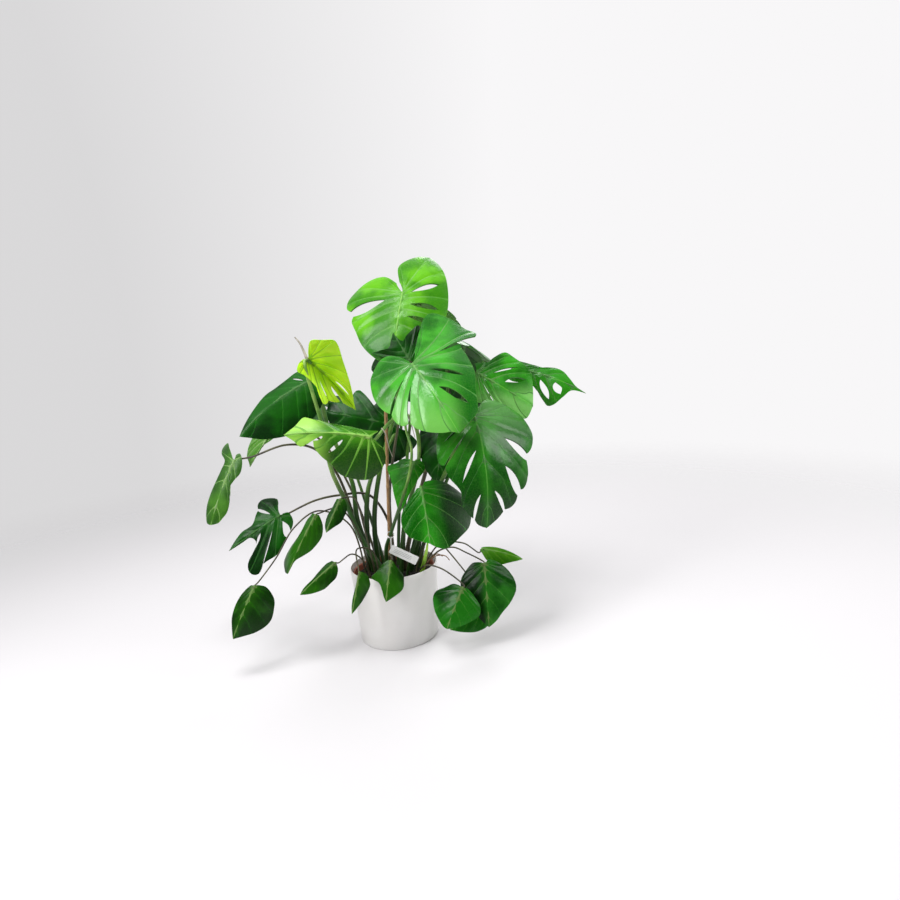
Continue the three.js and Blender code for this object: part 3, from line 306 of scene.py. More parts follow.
def stem(mesh, line, thickness, sides, finish=0):
    """A round tube along a line of points, rolled up from a flat grid and closed at both ends."""
    steps = len(line) - 1
    across = (line[1] - line[0]).orthogonal().normalized()
    rings = []
    for step, spot in enumerate(line):
        toward = (line[min(step + 1, steps)] - line[max(step - 1, 0)]).normalized()
        across = (across - across.dot(toward) * toward).normalized()
        rings.append((spot, across, toward.cross(across), thickness(step / steps)))
    sheet = bmesh.ops.create_grid(mesh, x_segments=sides, y_segments=steps, size=0.5)["verts"]
    faces = {face for vertex in sheet for face in vertex.link_faces}
    for vertex in sheet:
        around = 2 * math.pi * (vertex.co.x + 0.5)
        spot, across, other, radius = rings[round((vertex.co.y + 0.5) * steps)]
        vertex.co = spot + radius * (math.cos(around) * across + math.sin(around) * other)
    bmesh.ops.remove_doubles(mesh, verts=sheet, dist=1e-5)
    ends = {edge for vertex in sheet if vertex.is_valid for edge in vertex.link_edges if edge.is_boundary}
    faces |= set(bmesh.ops.holes_fill(mesh, edges=list(ends))["faces"])
    for face in faces:
        if face.is_valid:
            face.material_index = finish


def bell(distance, breadth):
    """1 in the middle, and falling away to both sides."""
    return math.exp(-((distance / breadth) ** 2))


def cane_radius(share):
    """The cane's radius, a little larger at each joint."""
    return STAKE_RADIUS + sum(KNOT_SWELL * bell(share - knot, KNOT_LENGTH) for knot in STAKE_KNOTS)


cane = bmesh.new()
cane_line = [STAKE_FOOT.lerp(STAKE_TOP, step / STAKE_STEPS) for step in range(STAKE_STEPS + 1)]
stem(cane, cane_line, cane_radius, sides=16)
dry_bamboo, tree, shader, where = new_finish("dry_bamboo", roughness=0.6)
lengthwise = wired(tree, "ShaderNodeMapping", {"Vector": where, "Scale": (1, 1, 0.04)}).outputs["Vector"]
fibre = speckle(tree, lengthwise, scale=420, detail=4)
bands = ramp(tree, speckle(tree, where, scale=22, detail=3), low=0.55, high=0.75)
straw = blended(tree, ramp(tree, fibre, low=0.3, high=0.7), tint(126, 92, 58), tint(176, 138, 94))
tree.links.new(blended(tree, bands, straw, tint(104, 74, 48)), shader.inputs["Base Color"])
raised(tree, shader, fibre, distance=0.0004)
stake = place_piece("dry_bamboo_stake", cane, [dry_bamboo])
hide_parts("bamboo_stake")

# The new shoot is a leaf still rolled up in a bright green spear, at the side of the plant.
# Two brown aerial roots grow from its foot and reach out over the pot's rim.
SHOOT = ((0.078, -0.042, 0.1441), (0.080, -0.043, 0.190), (0.089, -0.051, 0.222), (0.098, -0.056, 0.255),
         (0.104, -0.057, 0.286))
SHOOT_RADIUS, SHOOT_TIP = 0.0064, 0.0004
SHOOT_FULLNESS, SHOOT_TAPER = 1.25, 0.6
AERIAL_ROOTS = (
    ((0.084, -0.047, 0.204), (0.105, -0.060, 0.228), (0.128, -0.068, 0.240), (0.146, -0.066, 0.236),
     (0.156, -0.062, 0.222)),
    ((0.082, -0.045, 0.200), (0.104, -0.048, 0.224), (0.124, -0.046, 0.236), (0.138, -0.044, 0.228)),
)
ROOT_RADIUS, ROOT_THINNING = 0.0019, 0.0007
ROOT_KNOBS, KNOB_RATE = 0.0002, 40


def smooth_path(places, steps):
    """A smooth line through places: each span bends most where its places are close together."""
    knots = [Vector(place) for place in places]
    knots = [2 * knots[0] - knots[1], *knots, 2 * knots[-1] - knots[-2]]
    line = [knots[1]]
    for before, start, end, after in zip(knots, knots[1:], knots[2:], knots[3:]):
        k0, k1, k2 = ((b - a).length ** 0.5 for a, b in ((before, start), (start, end), (end, after)))
        leave = ((start - before) / k0 - (end - before) / (k0 + k1) + (end - start) / k1) * k1
        arrive = ((end - start) / k1 - (after - start) / (k1 + k2) + (after - end) / k2) * k1
        for step in range(1, steps + 1):
            s = step / steps
            line.append(
                start * (2 * s ** 3 - 3 * s ** 2 + 1) + leave * (s ** 3 - 2 * s ** 2 + s)
                + end * (3 * s ** 2 - 2 * s ** 3) + arrive * (s ** 3 - s ** 2)
            )
    return line


def faded(tree, where, axis, fade, colour):
    """A colour that gives way to another one along an axis, between two places."""
    other, start, end = fade
    parts = wired(tree, "ShaderNodeSeparateXYZ", {"Vector": where}).outputs
    return blended(tree, ramp(tree, parts[axis], start, end), colour, other)


def plant_skin(name, deep, fresh, roughness, grain=30, shade_at_foot=None):
    """Living stem tissue: two greens that drift into each other, with painted shade that darkens the foot
    where a shade colour is given.
    """
    finish, tree, shader, where = new_finish(name, roughness)
    drift = ramp(tree, speckle(tree, where, grain, detail=3), low=0.35, high=0.65)
    green = blended(tree, drift, deep, fresh)
    # Painted shade: the stem's colour darkens towards its foot, low among the leaves.
    if shade_at_foot:
        green = faded(tree, where, "Z", shade_at_foot, green)
    tree.links.new(green, shader.inputs["Base Color"])
    raised(tree, shader, speckle(tree, where, scale=500, detail=2), distance=0.0002)
    return finish


def spear_radius(share):
    """The spear's radius: full near its foot, then drawn in to a point."""
    return SHOOT_RADIUS * min(1, SHOOT_FULLNESS * (1 - share)) ** SHOOT_TAPER + SHOOT_TIP


def root_radius(share):
    """An aerial root's radius, with small knobs along it."""
    return ROOT_RADIUS - ROOT_THINNING * share + ROOT_KNOBS * math.sin(KNOB_RATE * share)


spear_green = plant_skin("spear_green", tint(120, 178, 44), tint(176, 220, 84), roughness=0.35)
root_brown = plant_skin("root_brown", tint(84, 58, 40), tint(136, 104, 74), roughness=0.85, grain=90)
spear = bmesh.new()
stem(spear, smooth_path(SHOOT, steps=8), spear_radius, sides=14)
for route in AERIAL_ROOTS:
    stem(spear, smooth_path(route, steps=7), root_radius, sides=8, finish=1)
new_shoot = place_piece("rolled_new_shoot", spear, [spear_green, root_brown])
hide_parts("new_shoot")

# The glossy leaf is the large one in the middle that faces the front, deep green and shining.
# Each leaf is one blade with its petiole, which rises from the soil and bends in under the midrib.
# Side veins run to the margin; between them the blade opens in slits and holes.
MIDRIB_START = 0.28
VEIN_BOW, VEIN_BOW_TURN = 0.34, 0.38
FINGER_ROUND, ROUND_TURN = 0.09, 4
CUT_FULLNESS = 0.8
MARGIN_WAVE, WAVES = 0.003, 3
RING_CROWDING = 1.4
RIB_WIDTH, RIB_THINNING = 1.15, 0.85
VEIN_THINNING = 1.2
BLADE_THICKNESS = 0.0006
BLADE_SWELL, SWELL_REACH = 0.01, 0.016
FACE_GROOVES = ((0.0006, 0.005), (0.0016, 0.005))
BACK_RIDGES = ((0.0015, 0.003), (0.0032, 0.0035))
NECK, NECK_BEFORE, NECK_UNDER, NECK_SEAT = 0.013, 0.3, 0.1, 0.85
ROOT_FOOT, SOIL_LINE = 0.1441, 0.182
PETIOLE_STEPS = 9
TAPER_END, TAPER = 0.9, 1.2
KNEE_PLACE, KNEE_LENGTH, KNEE_SWELL = 0.93, 0.03, 0.25
SPUR_RADIUS, SPUR_THINNING = 0.004, 0.0026
STRAND_RADIUS, STRAND_THINNING = 0.0015, 0.0006
# A margin runs from the joint to the tip, in hundredths of the blade's width and of its length.
# Seams lie between the fingers, in hundredths of the way round; a grid is a finger's strips and rings.
LOBED = ((3, -17), (17, -27), (36, -22), (48, -3), (50, 22), (46, 48), (36, 69), (23, 85), (10, 95))
FORMS = {
    "split": {"seams": (20, 33, 43, 53, 64, 78), "grid": (12, 26)},
    "few": {"seams": (26, 42, 58, 76), "grid": (12, 22)},
    "whole": {"seams": (14, 28, 42, 56, 72, 87), "grid": (6, 18)},
}
# A cut's start and end, as shares of the way out, and its width, as a share of the way round.
# Those that end past 1 are open at the margin.
CUTS = {
    "o": (0.2, 0.8, 0.014), "l": (0.2, 0.8, 0.022), "h": (0.2, 0.8, 0.04), "n": (0.3, 1.12, 0.012),
    "v": (0.3, 1.12, 0.034), "w": (0.3, 1.12, 0.06), "u": (0.5, 1.12, 0.034),
}
# What a leaf has where its call doesn't say otherwise, with angles in degrees.
USUAL = {"form": "few", "droop": 30, "fold": -8, "curl": 20, "lag": 1.9, "relief": 0.6}


def of_side(value, side):
    """A size of one half, where the two halves differ."""
    return value[side > 0] if isinstance(value, tuple) else value


def margin_at(margin, share):
    """A point of the smooth line through the margin's points, at a share of the way round."""
    last = len(margin) - 1
    first = min(int(last * share), last - 1)
    s = last * share - first
    before, start, end, after = (margin[min(max(i, 0), last)] for i in range(first - 1, first + 3))
    spot = []
    for a, b, c, d in zip(before, start, end, after):
        leave, arrive = (c - a) / 2, (d - b) / 2
        spot.append(
            (2 * b - 2 * c + leave + arrive) * s ** 3
            + (3 * c - 3 * b - 2 * leave - arrive) * s ** 2 + leave * s + b
        )
    return spot


def seam_gap(letter, out):
    """How far a cut opens beside its seam, at a share of the way out."""
    start, end, width = CUTS.get(letter, (1, 0, 0))
    if not start < out < end:
        return 0
    return width * math.sin(math.pi * (out - start) / (end - start)) ** CUT_FULLNESS


def blade_frame(leaf):
    """The joint, the midrib's chord, the face's and the right-hand directions, the arch and its length."""
    joint = Vector(leaf["joint"])
    along = Vector(leaf["tip"]) - joint
    chord = along.length
    along.normalize()
    face = Vector(leaf["face"])
    face = (face - face.dot(along) * along).normalized()
    droop = math.radians(leaf["droop"])
    return joint, along, face, along.cross(face), droop, chord * (droop / 2) / math.sin(droop / 2)


def flat_point(leaf, length, margin, way, leave, out):
    """A place on the flat blade at a share of the way round and of the way out.

    Leave is the share where its vein leaves the midrib, which is alike for both halves.
    """
    rim_x, rim_y = margin_at(margin, way)
    rim_x *= leaf["width"]
    rim_y *= length
    rib_y = max(0, (leave - MIDRIB_START) / (1 - MIDRIB_START)) ** leaf["lag"] * length
    bow = 2 * out * (1 - out) * VEIN_BOW * (way - VEIN_BOW_TURN)
    return out * rim_x + bow * (rim_y - rib_y), (1 - out) * rib_y + out * rim_y - bow * rim_x


def arc(start, bend, length):
    """Where a path ends that starts at an angle and bends down evenly."""
    if abs(bend * length) < 1e-6:
        return length * math.cos(start), length * math.sin(start)
    end = start - bend * length
    return (math.sin(start) - math.sin(end)) / bend, (math.cos(end) - math.cos(start)) / bend


def bent_point(leaf, laid, side, way, across, along):
    """The same place on the bent blade: the midrib arches, and each half folds, curls and waves."""
    joint, forward, face, right, droop, length = laid
    bend = droop / length
    if along < 0:
        bend = math.radians(of_side(leaf.get("lobe_bend", leaf["droop"]), side)) / length
    here = droop / 2 - bend * along
    onward, lifted = arc(droop / 2, bend, along)
    half = leaf["width"] / 2
    fold = math.radians(of_side(leaf["fold"], side))
    outward, stood = arc(fold, math.radians(of_side(leaf["curl"], side)) / half, across)
    stood += MARGIN_WAVE * (across / half) ** 2 * math.sin(2 * math.pi * WAVES * way)
    return (joint + forward * (onward - stood * math.sin(here)) + face * (lifted + stood * math.cos(here))
            + right * side * outward)


def blade(mesh, leaf, laid):
    """Each finger between two seams is a grid that is bent into place; seams that aren't cut are welded."""
    form = FORMS[leaf["form"]]
    strips, rings = form["grid"]
    length = laid[-1]
    reach = mesh.verts.layers.float
    vein, rib, rim = reach["vein"], reach["rib"], reach["rim"]
    skin = []
    left_seams, right_seams = (
        [0, *(place / 100 for place in leaf.get(f"{name}_seams", form["seams"])), 1]
        for name in ("left", "right")
    )
    leaving = [(one + other) / 2 for one, other in zip(left_seams, right_seams)]
    for side, name, seams in ((-1, "left", left_seams), (1, "right", right_seams)):
        margin = [(x / 100, y / 100) for x, y in leaf.get(f"{name}_margin", LOBED)] + [(0, 1)]
        cuts = " " + leaf.get(name, "") + " " * len(seams)
        for finger, (first, last) in enumerate(zip(seams, seams[1:])):
            sheet = bmesh.ops.create_grid(mesh, x_segments=strips, y_segments=rings, size=0.5)["verts"]
            faces = list({face for vertex in sheet for face in vertex.link_faces})
            if side > 0:
                bmesh.ops.reverse_faces(mesh, faces=faces)
            for vertex in sheet:
                share, out = vertex.co.x + 0.5, (vertex.co.y + 0.5) ** RING_CROWDING
                open_first, open_last = (seam_gap(cuts[finger + step], out) for step in (0, 1))
                start, end = first + open_first, last - open_last
                leave_start, leave_end = leaving[finger] + open_first, leaving[finger + 1] - open_last
                leave = leave_start + (leave_end - leave_start) * share
                rounding = (1 - share) ** ROUND_TURN * (seam_gap(cuts[finger], 1) > 0)
                rounding += share ** ROUND_TURN * (seam_gap(cuts[finger + 1], 1) > 0)
                way, far = start + (end - start) * share, out * (1 - FINGER_ROUND * min(1, rounding))
                across, along = flat_point(leaf, length, margin, way, leave, far)
                edge = flat_point(leaf, length, margin, way, leave, 1)
                left = flat_point(leaf, length, margin, start, leave_start, far)
                right = flat_point(leaf, length, margin, end, leave_end, far)
                taper = RIB_WIDTH - RIB_THINNING * max(0, min(1, along / length))
                vertex[vein] = abs(share - 0.5) * math.dist(left, right) / (VEIN_THINNING - out)
                vertex[rib] = math.hypot(across, min(along, 0)) / taper
                vertex[rim] = math.dist((across, along), edge)
                vertex.co = bent_point(leaf, laid, side, way, across, along)
            skin += sheet
    bmesh.ops.remove_doubles(mesh, verts=skin, dist=2e-5)
    skin = [vertex for vertex in skin if vertex.is_valid]
    edges = list({edge for vertex in skin for edge in vertex.link_edges})
    bmesh.ops.dissolve_degenerate(mesh, dist=1e-6, edges=edges)
    skin = [vertex for vertex in skin if vertex.is_valid]
    faces = list({face for vertex in skin for face in vertex.link_faces})
    mesh.normal_update()
    grown = bmesh.ops.extrude_face_region(mesh, geom=faces, use_keep_orig=True)["geom"]
    upper = [item for item in grown if isinstance(item, bmesh.types.BMVert)]
    top = {item for item in grown if isinstance(item, bmesh.types.BMFace)}
    swell = leaf.get("swell", BLADE_SWELL * leaf["width"])
    layers = ((upper, BLADE_THICKNESS, FACE_GROOVES), (skin, 0, BACK_RIDGES))
    for layer, thickness, (at_veins, at_rib) in layers:
        for vertex in layer:
            groove = at_veins[0] * bell(vertex[vein], at_veins[1])
            groove += at_rib[0] * bell(vertex[rib], at_rib[1])
            puff = swell * (1 - bell(vertex[vein], SWELL_REACH)) * min(1, vertex[rim] / SWELL_REACH)
            vertex.co += vertex.normal * (thickness - leaf["relief"] * groove + puff)
    for face in mesh.faces:
        face.material_index = 0 if face in top else 1
    bmesh.ops.recalc_face_normals(mesh, faces=mesh.faces)


def petiole_line(leaf, laid):
    """From the soil, by way of the leaf's own places, in under the midrib."""
    joint, along, face, _, droop, _ = laid
    seat = NECK_SEAT * leaf["stalk"][1]
    x, y = leaf["root"]
    return smooth_path([
        (x, y, ROOT_FOOT), (x, y, SOIL_LINE), *leaf["via"],
        joint - NECK_BEFORE * NECK * along - NECK * face,
        joint + NECK_UNDER * NECK * along - seat * face,
        joint + NECK * along + (math.tan(droop / 2) * NECK - seat) * face,
    ], PETIOLE_STEPS)


def grow_leaf(name, skins, **leaf):
    """One leaf: its blade and its petiole, which is thickest at the foot and swells a little at the knee.

    The petiole runs from its root by way of the via places to the joint, and the blade from there to its
    tip. Stalk is the petiole's radius at the foot and at the top. Droop, fold and curl bend the midrib, the
    halves and their edges, in degrees. Left and right name the cut at each seam, from the joint on, with a
    dash for none. Lag draws the side veins' starts towards the joint, relief is the share of their full
    depth, and swell is how far the blade rises between them. It gives back the petiole's line.
    """
    leaf = {**USUAL, **leaf}
    mesh = bmesh.new()
    for layer in ("vein", "rib", "rim"):
        mesh.verts.layers.float.new(layer)
    laid = blade_frame(leaf)
    blade(mesh, leaf, laid)
    base, neck = leaf["stalk"]

    def girth(share):
        knee = KNEE_SWELL * bell(share - KNEE_PLACE, KNEE_LENGTH)
        return neck * (1 + knee) + (base - neck) * max(0, 1 - share / TAPER_END) ** TAPER

    petiole = petiole_line(leaf, laid)
    stem(mesh, petiole, girth, sides=10, finish=2)
    if "spur" in leaf:
        spur = smooth_path([laid[0] - neck * laid[2], *leaf["spur"]], steps=8)
        stem(mesh, spur, lambda share: SPUR_RADIUS - SPUR_THINNING * share, sides=8, finish=3)
    for strand in leaf.get("strands", ()):
        strand = smooth_path(strand, steps=5)
        stem(mesh, strand, lambda share: STRAND_RADIUS - STRAND_THINNING * share, sides=6, finish=3)
    piece = place_piece(name.replace("leaf", "grown_leaf"), mesh, skins, sharp=0.9)
    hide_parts(name)
    return petiole


def leaf_skin(name, deep, fresh, vein_colour, roughness, through=0.1, fades=(), shine=0.28):
    """A leaf's face: two drifting greens, pale side veins and midrib in their grooves, and a fine net.

    A fade is an axis, another green, and the places along it where that green begins and is full; most fades
    here are painted sheen and painted shade.
    """
    finish, tree, shader, where = new_finish(name, roughness)

    def near(layer, far, full, amount):
        """How much of a colour shows this near to a vein, the midrib or the margin."""
        distance = wired(tree, "ShaderNodeAttribute", {}, attribute_name=layer).outputs["Fac"]
        return share_of(ramp(tree, distance, far, full), amount)

    def share_of(value, amount):
        return wired(tree, "ShaderNodeMath", {0: value, 1: amount}, operation="MULTIPLY").outputs["Value"]

    net = wired(tree, "ShaderNodeTexVoronoi", {"Vector": where, "Scale": 170}, feature="DISTANCE_TO_EDGE")
    net_lines = share_of(ramp(tree, net.outputs["Distance"], low=0.12, high=0.0), amount=0.07)
    drift = ramp(tree, speckle(tree, where, scale=8, detail=3), low=0.42, high=0.58)
    green = blended(tree, drift, deep, fresh)
    for axis, *fade in fades:
        green = faded(tree, where, axis, fade, green)
    green = blended(tree, net_lines, green, vein_colour)
    green = blended(tree, near("rib", far=0.035, full=0.0, amount=0.5), green, fresh)
    green = blended(tree, near("vein", far=0.0018, full=0.0003, amount=0.06), green, vein_colour)
    green = blended(tree, near("rib", far=0.0024, full=0.001, amount=0.4), green, vein_colour)
    green = blended(tree, near("rim", far=0.001, full=0.0002, amount=0.25), green, vein_colour)
    tree.links.new(green, shader.inputs["Base Color"])
    gloss = wired(tree, "ShaderNodeMapRange", {
        "Value": speckle(tree, where, scale=24, detail=3),
        "To Min": roughness - 0.06, "To Max": roughness + 0.08,
    })
    tree.links.new(gloss.outputs["Result"], shader.inputs["Roughness"])
    beside_veins = near("vein", far=0.006, full=0.0, amount=0.3)
    pucker = blended(tree, beside_veins, speckle(tree, where, scale=70, detail=3), tint(0, 0, 0))
    raised(tree, shader, pucker, distance=0.0014, strength=0.6)
    shader.inputs["Specular IOR Level"].default_value = shine
    shader.inputs["Subsurface Weight"].default_value = through
    shader.inputs["Subsurface Radius"].default_value = (0.6, 1.0, 0.25)
    shader.inputs["Subsurface Scale"].default_value = 0.002
    return finish


MEADOW_GREENS = (tint(8, 86, 0), tint(46, 146, 20), tint(120, 190, 70))
meadow_upper = leaf_skin("meadow_green_face", *MEADOW_GREENS, roughness=0.27)
meadow_under = leaf_skin(
    "meadow_green_back", tint(46, 108, 36), tint(76, 138, 56), tint(120, 174, 90), roughness=0.5,
)
# The pale stalk's foot is darkened with painted shade, low among the leaves.
pale_stalk = plant_skin(
    "pale_stalk", tint(92, 140, 52), tint(140, 178, 86), roughness=0.45,
    shade_at_foot=(tint(40, 80, 22), 0.52, 0.36),
)
# The glossy face turns paler on its lower part, a painted sheen, and darker at its right, painted shade.
glossy_upper = leaf_skin(
    "glossy_green_face", tint(12, 92, 2), tint(56, 152, 30), tint(130, 196, 84), roughness=0.22,
    fades=(("Z", tint(104, 176, 74), 0.71, 0.6), ("X", tint(10, 92, 4), 0.17, 0.235)), shine=0.34,
)
GLOSSY = [glossy_upper, meadow_under, pale_stalk]
glossy_petiole = grow_leaf(
    "leaf_glossy", GLOSSY, form="split", root=(-0.016, -0.022),
    via=((-0.012, -0.038, 0.258), (0.008, -0.078, 0.31), (0.033, -0.134, 0.372), (0.058, -0.156, 0.432),
        (0.08, -0.16, 0.492), (0.088, -0.152, 0.545), (0.077, -0.13, 0.6)), stalk=(0.006, 0.0027),
    joint=(0.108, -0.15, 0.748), tip=(0.204, -0.262, 0.59), face=(0, -0.8, 0.6), width=0.255,
    lobe_bend=(-25, 10), lag=4.5, curl=(6, 25), left="--w-ol", right="---nn",
    left_seams=(17, 31, 44, 58, 70, 84), right_seams=(13, 27, 40, 60, 73, 86), swell=0.0014,
    left_margin=((10, -17), (34, -52), (51, -63), (67, -48), (73, -26), (80, -9), (56, -5), (52, 15),
        (47, 42), (36, 66), (27, 87), (13, 95)),
    right_margin=((1, -6), (5, -19), (12, -32), (22, -36), (32, -31), (40, -24), (45, -13), (49, 3),
        (49, 22), (47, 41), (42, 57), (35, 69), (25, 80), (14, 90), (5, 95)),
)

# The crown leaf stands at the top, young and bright green.
# It has closed slits in one half and a wide cut in the other, and one basal lobe reaches across the petiole.
# The green stalk's foot is darkened with painted shade, low among the leaves.
stalk_green = plant_skin(
    "stalk_green", tint(60, 104, 30), tint(96, 140, 50), roughness=0.42,
    shade_at_foot=(tint(30, 64, 16), 0.5, 0.32),
)
BRIGHT_GREENS = (tint(46, 118, 2), tint(88, 164, 14), tint(140, 204, 54))
# The crown's face darkens towards its lower part: painted shade.
crown_upper = leaf_skin(
    "crown_green_face", *BRIGHT_GREENS, roughness=0.29,
    fades=(("Z", tint(26, 104, 8), 0.86, 0.76),), shine=0.24,
)
bright_under = leaf_skin(
    "bright_green_back", tint(64, 128, 38), tint(96, 160, 58), tint(150, 200, 96), roughness=0.5,
)
BRIGHT = [crown_upper, bright_under, stalk_green]
grow_leaf(
    "leaf_crown", BRIGHT, form="split", root=(-0.049, 0.042),
    via=((-0.047, 0.046, 0.32), (-0.018, 0.058, 0.459), (0.044, 0.078, 0.64)), stalk=(0.009, 0.004),
    joint=(0.091, 0.02, 0.929), tip=(0.054, -0.05, 0.74), face=(-0.1, -1, 0.5), width=0.28, lag=2.4,
    fold=-6, left="--llo", right="--w", left_seams=(20, 36, 50, 65, 76, 88),
    right_seams=(20, 33, 51, 62, 72, 85), swell=0.0018,
    left_margin=((-5, -16), (-10, -45), (0, -69), (14, -80), (26, -68), (36, -45), (42, -15), (44, 15),
        (41, 36), (33, 60), (18, 86)),
    right_margin=((8, -16), (24, -32), (45, -29), (58, -9), (60, 16), (52, 34), (43, 53), (33, 74),
        (18, 90)),
)

# The split leaf hangs at the right, cut deep from its margin into long fingers.
# It is a mature leaf, thick and leathery.
deep_upper = leaf_skin(
    "deep_green_face", tint(6, 78, 0), tint(38, 128, 14), tint(96, 168, 56), roughness=0.27,
)
deep_under = leaf_skin(
    "deep_green_back", tint(30, 84, 28), tint(54, 112, 44), tint(100, 152, 78), roughness=0.5,
)
# The split leaf's face turns paler on its upper part, a painted sheen, and very dark on its lowest lobe,
# painted shade.
split_upper = leaf_skin(
    "split_green_face", tint(10, 84, 2), tint(46, 134, 24), tint(112, 180, 78), roughness=0.25,
    fades=(("Z", tint(74, 142, 56), 0.53, 0.66), ("Z", tint(2, 58, 0), 0.53, 0.4)),
)
DEEP = [deep_upper, deep_under, stalk_green]
SPLIT = [split_upper, deep_under, stalk_green]
grow_leaf(
    "leaf_split", SPLIT, form="split", root=(0.048, 0), via=((0.105, -0.05, 0.34), (0.18, -0.115, 0.5)),
    stalk=(0.008, 0.0038), joint=(0.245, -0.165, 0.616), tip=(0.252, -0.235, 0.357), face=(0.35, -1, 0.45),
    width=0.262, lobe_bend=20, lag=2.8, droop=60, fold=(-8, -10), curl=(15, 20), left="---uun",
    right="-nonon", left_seams=(12, 24, 34, 54, 75, 87), right_seams=(15, 30, 42, 55, 70, 90), relief=0.4,
    swell=0.0016,
    left_margin=((7, -9), (20, -20), (42, -18), (60, -10), (64, 10), (60, 28), (53, 45), (48, 60),
        (40, 76), (27, 85), (12, 93)),
    right_margin=((0, -12), (10, -22), (25, -16), (34, 4), (40, 22), (41, 40), (34, 53), (24, 66),
        (22, 80), (12, 95)),
)

# Two mature leaves reach out to the upper right, the farther one on a long arching petiole.
# Two holes stand beside each of their midribs.
MEADOW = [meadow_upper, meadow_under, stalk_green]
# The nearer leaf's face turns paler low down towards its tip: a painted sheen.
sheen_tipped_upper = leaf_skin(
    "sheen_tipped_green_face", *MEADOW_GREENS, roughness=0.27, fades=(("Z", tint(112, 178, 88), 0.68, 0.63),),
)
SHEEN_TIPPED = [sheen_tipped_upper, meadow_under, stalk_green]
grow_leaf(
    "leaf_right_upper", SHEEN_TIPPED, form="split", root=(0.042, 0.038),
    via=((0.12, 0.06, 0.4), (0.215, 0.02, 0.62)), stalk=(0.008, 0.0036), joint=(0.266, -0.009, 0.709),
    tip=(0.403, -0.051, 0.614), face=(0.2, -0.9, 0.5), width=0.217, lag=3.4, droop=8, fold=(0, -8),
    curl=(5, 25), left="----ol", right="---n", left_seams=(20, 33, 45, 58, 74, 87),
    left_margin=((10, -11), (18, 2), (24, 9), (36, 11), (45, 19), (46, 32), (44, 47), (39, 66), (26, 81)),
    right_margin=((10, -10), (25, -6), (32, 10), (31, 28), (26, 43), (23, 58), (22, 73), (21, 88),
        (17, 102)),
)
grow_leaf(
    "leaf_far_right", DEEP, form="split", root=(0.066, 0.022),
    via=((0.17, 0.07, 0.42), (0.305, 0.095, 0.64)), stalk=(0.007, 0.003), joint=(0.372, 0.09, 0.708),
    tip=(0.555, 0.01, 0.629), face=(0.1, -0.6, 0.8), width=0.18, lag=1.5, fold=(15, -40), curl=(10, 30),
    right="----hh", right_seams=(16, 30, 42, 52, 64, 77),
    left_margin=((10, -8), (16, -2), (15, 10), (13, 25), (13, 40), (19, 51), (18, 62), (10, 74), (2, 86)),
    right_margin=((5, -10), (12, -10), (20, 5), (18, 30), (30, 47), (41, 60), (36, 70), (20, 77), (6, 83)),
)

# The yellow-green leaf at the left turns its back to the front, so that light shines through it; its back's
# bright greens are painted light for that glow.
# A dry grey spur, the remains of an old sheath, stands at its joint.
yellow_upper = leaf_skin(
    "yellow_green_face", tint(108, 166, 20), tint(148, 200, 36), tint(190, 224, 90), roughness=0.4,
    through=0.3,
)
# The back's greens are brightened as painted light, for the light that shines through the leaf.
backlit_yellow_under = leaf_skin(
    "backlit_yellow_green_back", tint(168, 226, 12), tint(200, 246, 32), tint(100, 164, 20), roughness=0.45,
    through=0.3,
)
dry_sheath = plant_skin("dry_sheath", tint(138, 130, 120), tint(176, 168, 156), roughness=0.8, grain=120)
YELLOW = [yellow_upper, backlit_yellow_under, pale_stalk, dry_sheath]
grow_leaf(
    "leaf_young_yellow", YELLOW, form="split", root=(-0.03, -0.014),
    via=((-0.079, -0.008, 0.28), (-0.114, -0.005, 0.395), (-0.13, -0.06, 0.493), (-0.131, -0.11, 0.622)),
    stalk=(0.009, 0.0034), joint=(-0.144, -0.118, 0.778), tip=(-0.05, -0.06, 0.641), face=(0.3, 0.85, 0.4),
    width=0.18, lag=4, droop=24, fold=(-75, -5), curl=(20, 0), left="----nv", right="-----h",
    left_seams=(15, 30, 43, 56, 68, 82), right_seams=(15, 30, 45, 60, 74, 88),
    spur=((-0.15, -0.119, 0.795), (-0.158, -0.12, 0.818), (-0.168, -0.121, 0.833)),
    left_margin=((4, -6), (15, -10), (26, -8), (24, 5), (25, 20), (28, 36), (38, 50), (36, 60), (22, 69),
        (12, 80), (4, 92)),
    right_margin=((10, -8), (30, -22), (45, -17), (57, -8), (55, 5), (44, 25), (31, 47), (16, 73), (5, 90)),
)

# The dark leaf at the left is folded along its midrib, so that its far half is seen as a light strip.
# It is an old leaf on a long petiole; its dark greens are painted shade.
dark_stalk = plant_skin("dark_stalk", tint(56, 50, 38), tint(84, 82, 54), roughness=0.5)
shade_upper = leaf_skin(
    "shade_green_face", tint(0, 38, 0), tint(12, 80, 2), tint(36, 100, 20), roughness=0.34, shine=0.2,
)
shade_under = leaf_skin(
    "shade_green_back", tint(20, 62, 18), tint(40, 88, 32), tint(80, 126, 60), roughness=0.55,
)
# Both sets wear the shade greens, painted shade; they differ only in their petioles.
SHADE_ON_GREEN_STALK = [shade_upper, shade_under, stalk_green]
SHADE = [shade_upper, shade_under, dark_stalk]
grow_leaf(
    "leaf_left_dark", SHADE_ON_GREEN_STALK, form="split", root=(-0.058, 0.016),
    via=((-0.09, 0.016, 0.334), (-0.094, 0.028, 0.432), (-0.145, 0.03, 0.6)), stalk=(0.009, 0.004),
    joint=(-0.158, -0.04, 0.726), tip=(-0.333, -0.12, 0.604), face=(-0.3, -0.5, 0.85), width=0.235,
    fold=(-45, 15), curl=(30, 15), right="--o", relief=0.3, swell=0.0006,
    left_margin=((2, -2), (10, -6), (20, -4), (30, 5), (37, 18), (40, 34), (39, 50), (34, 68), (22, 85),
        (8, 95)),
    right_margin=((4, -3), (14, -5), (22, -2), (24, 6), (20, 20), (18, 35), (18, 49), (13, 66), (7, 84)),
)
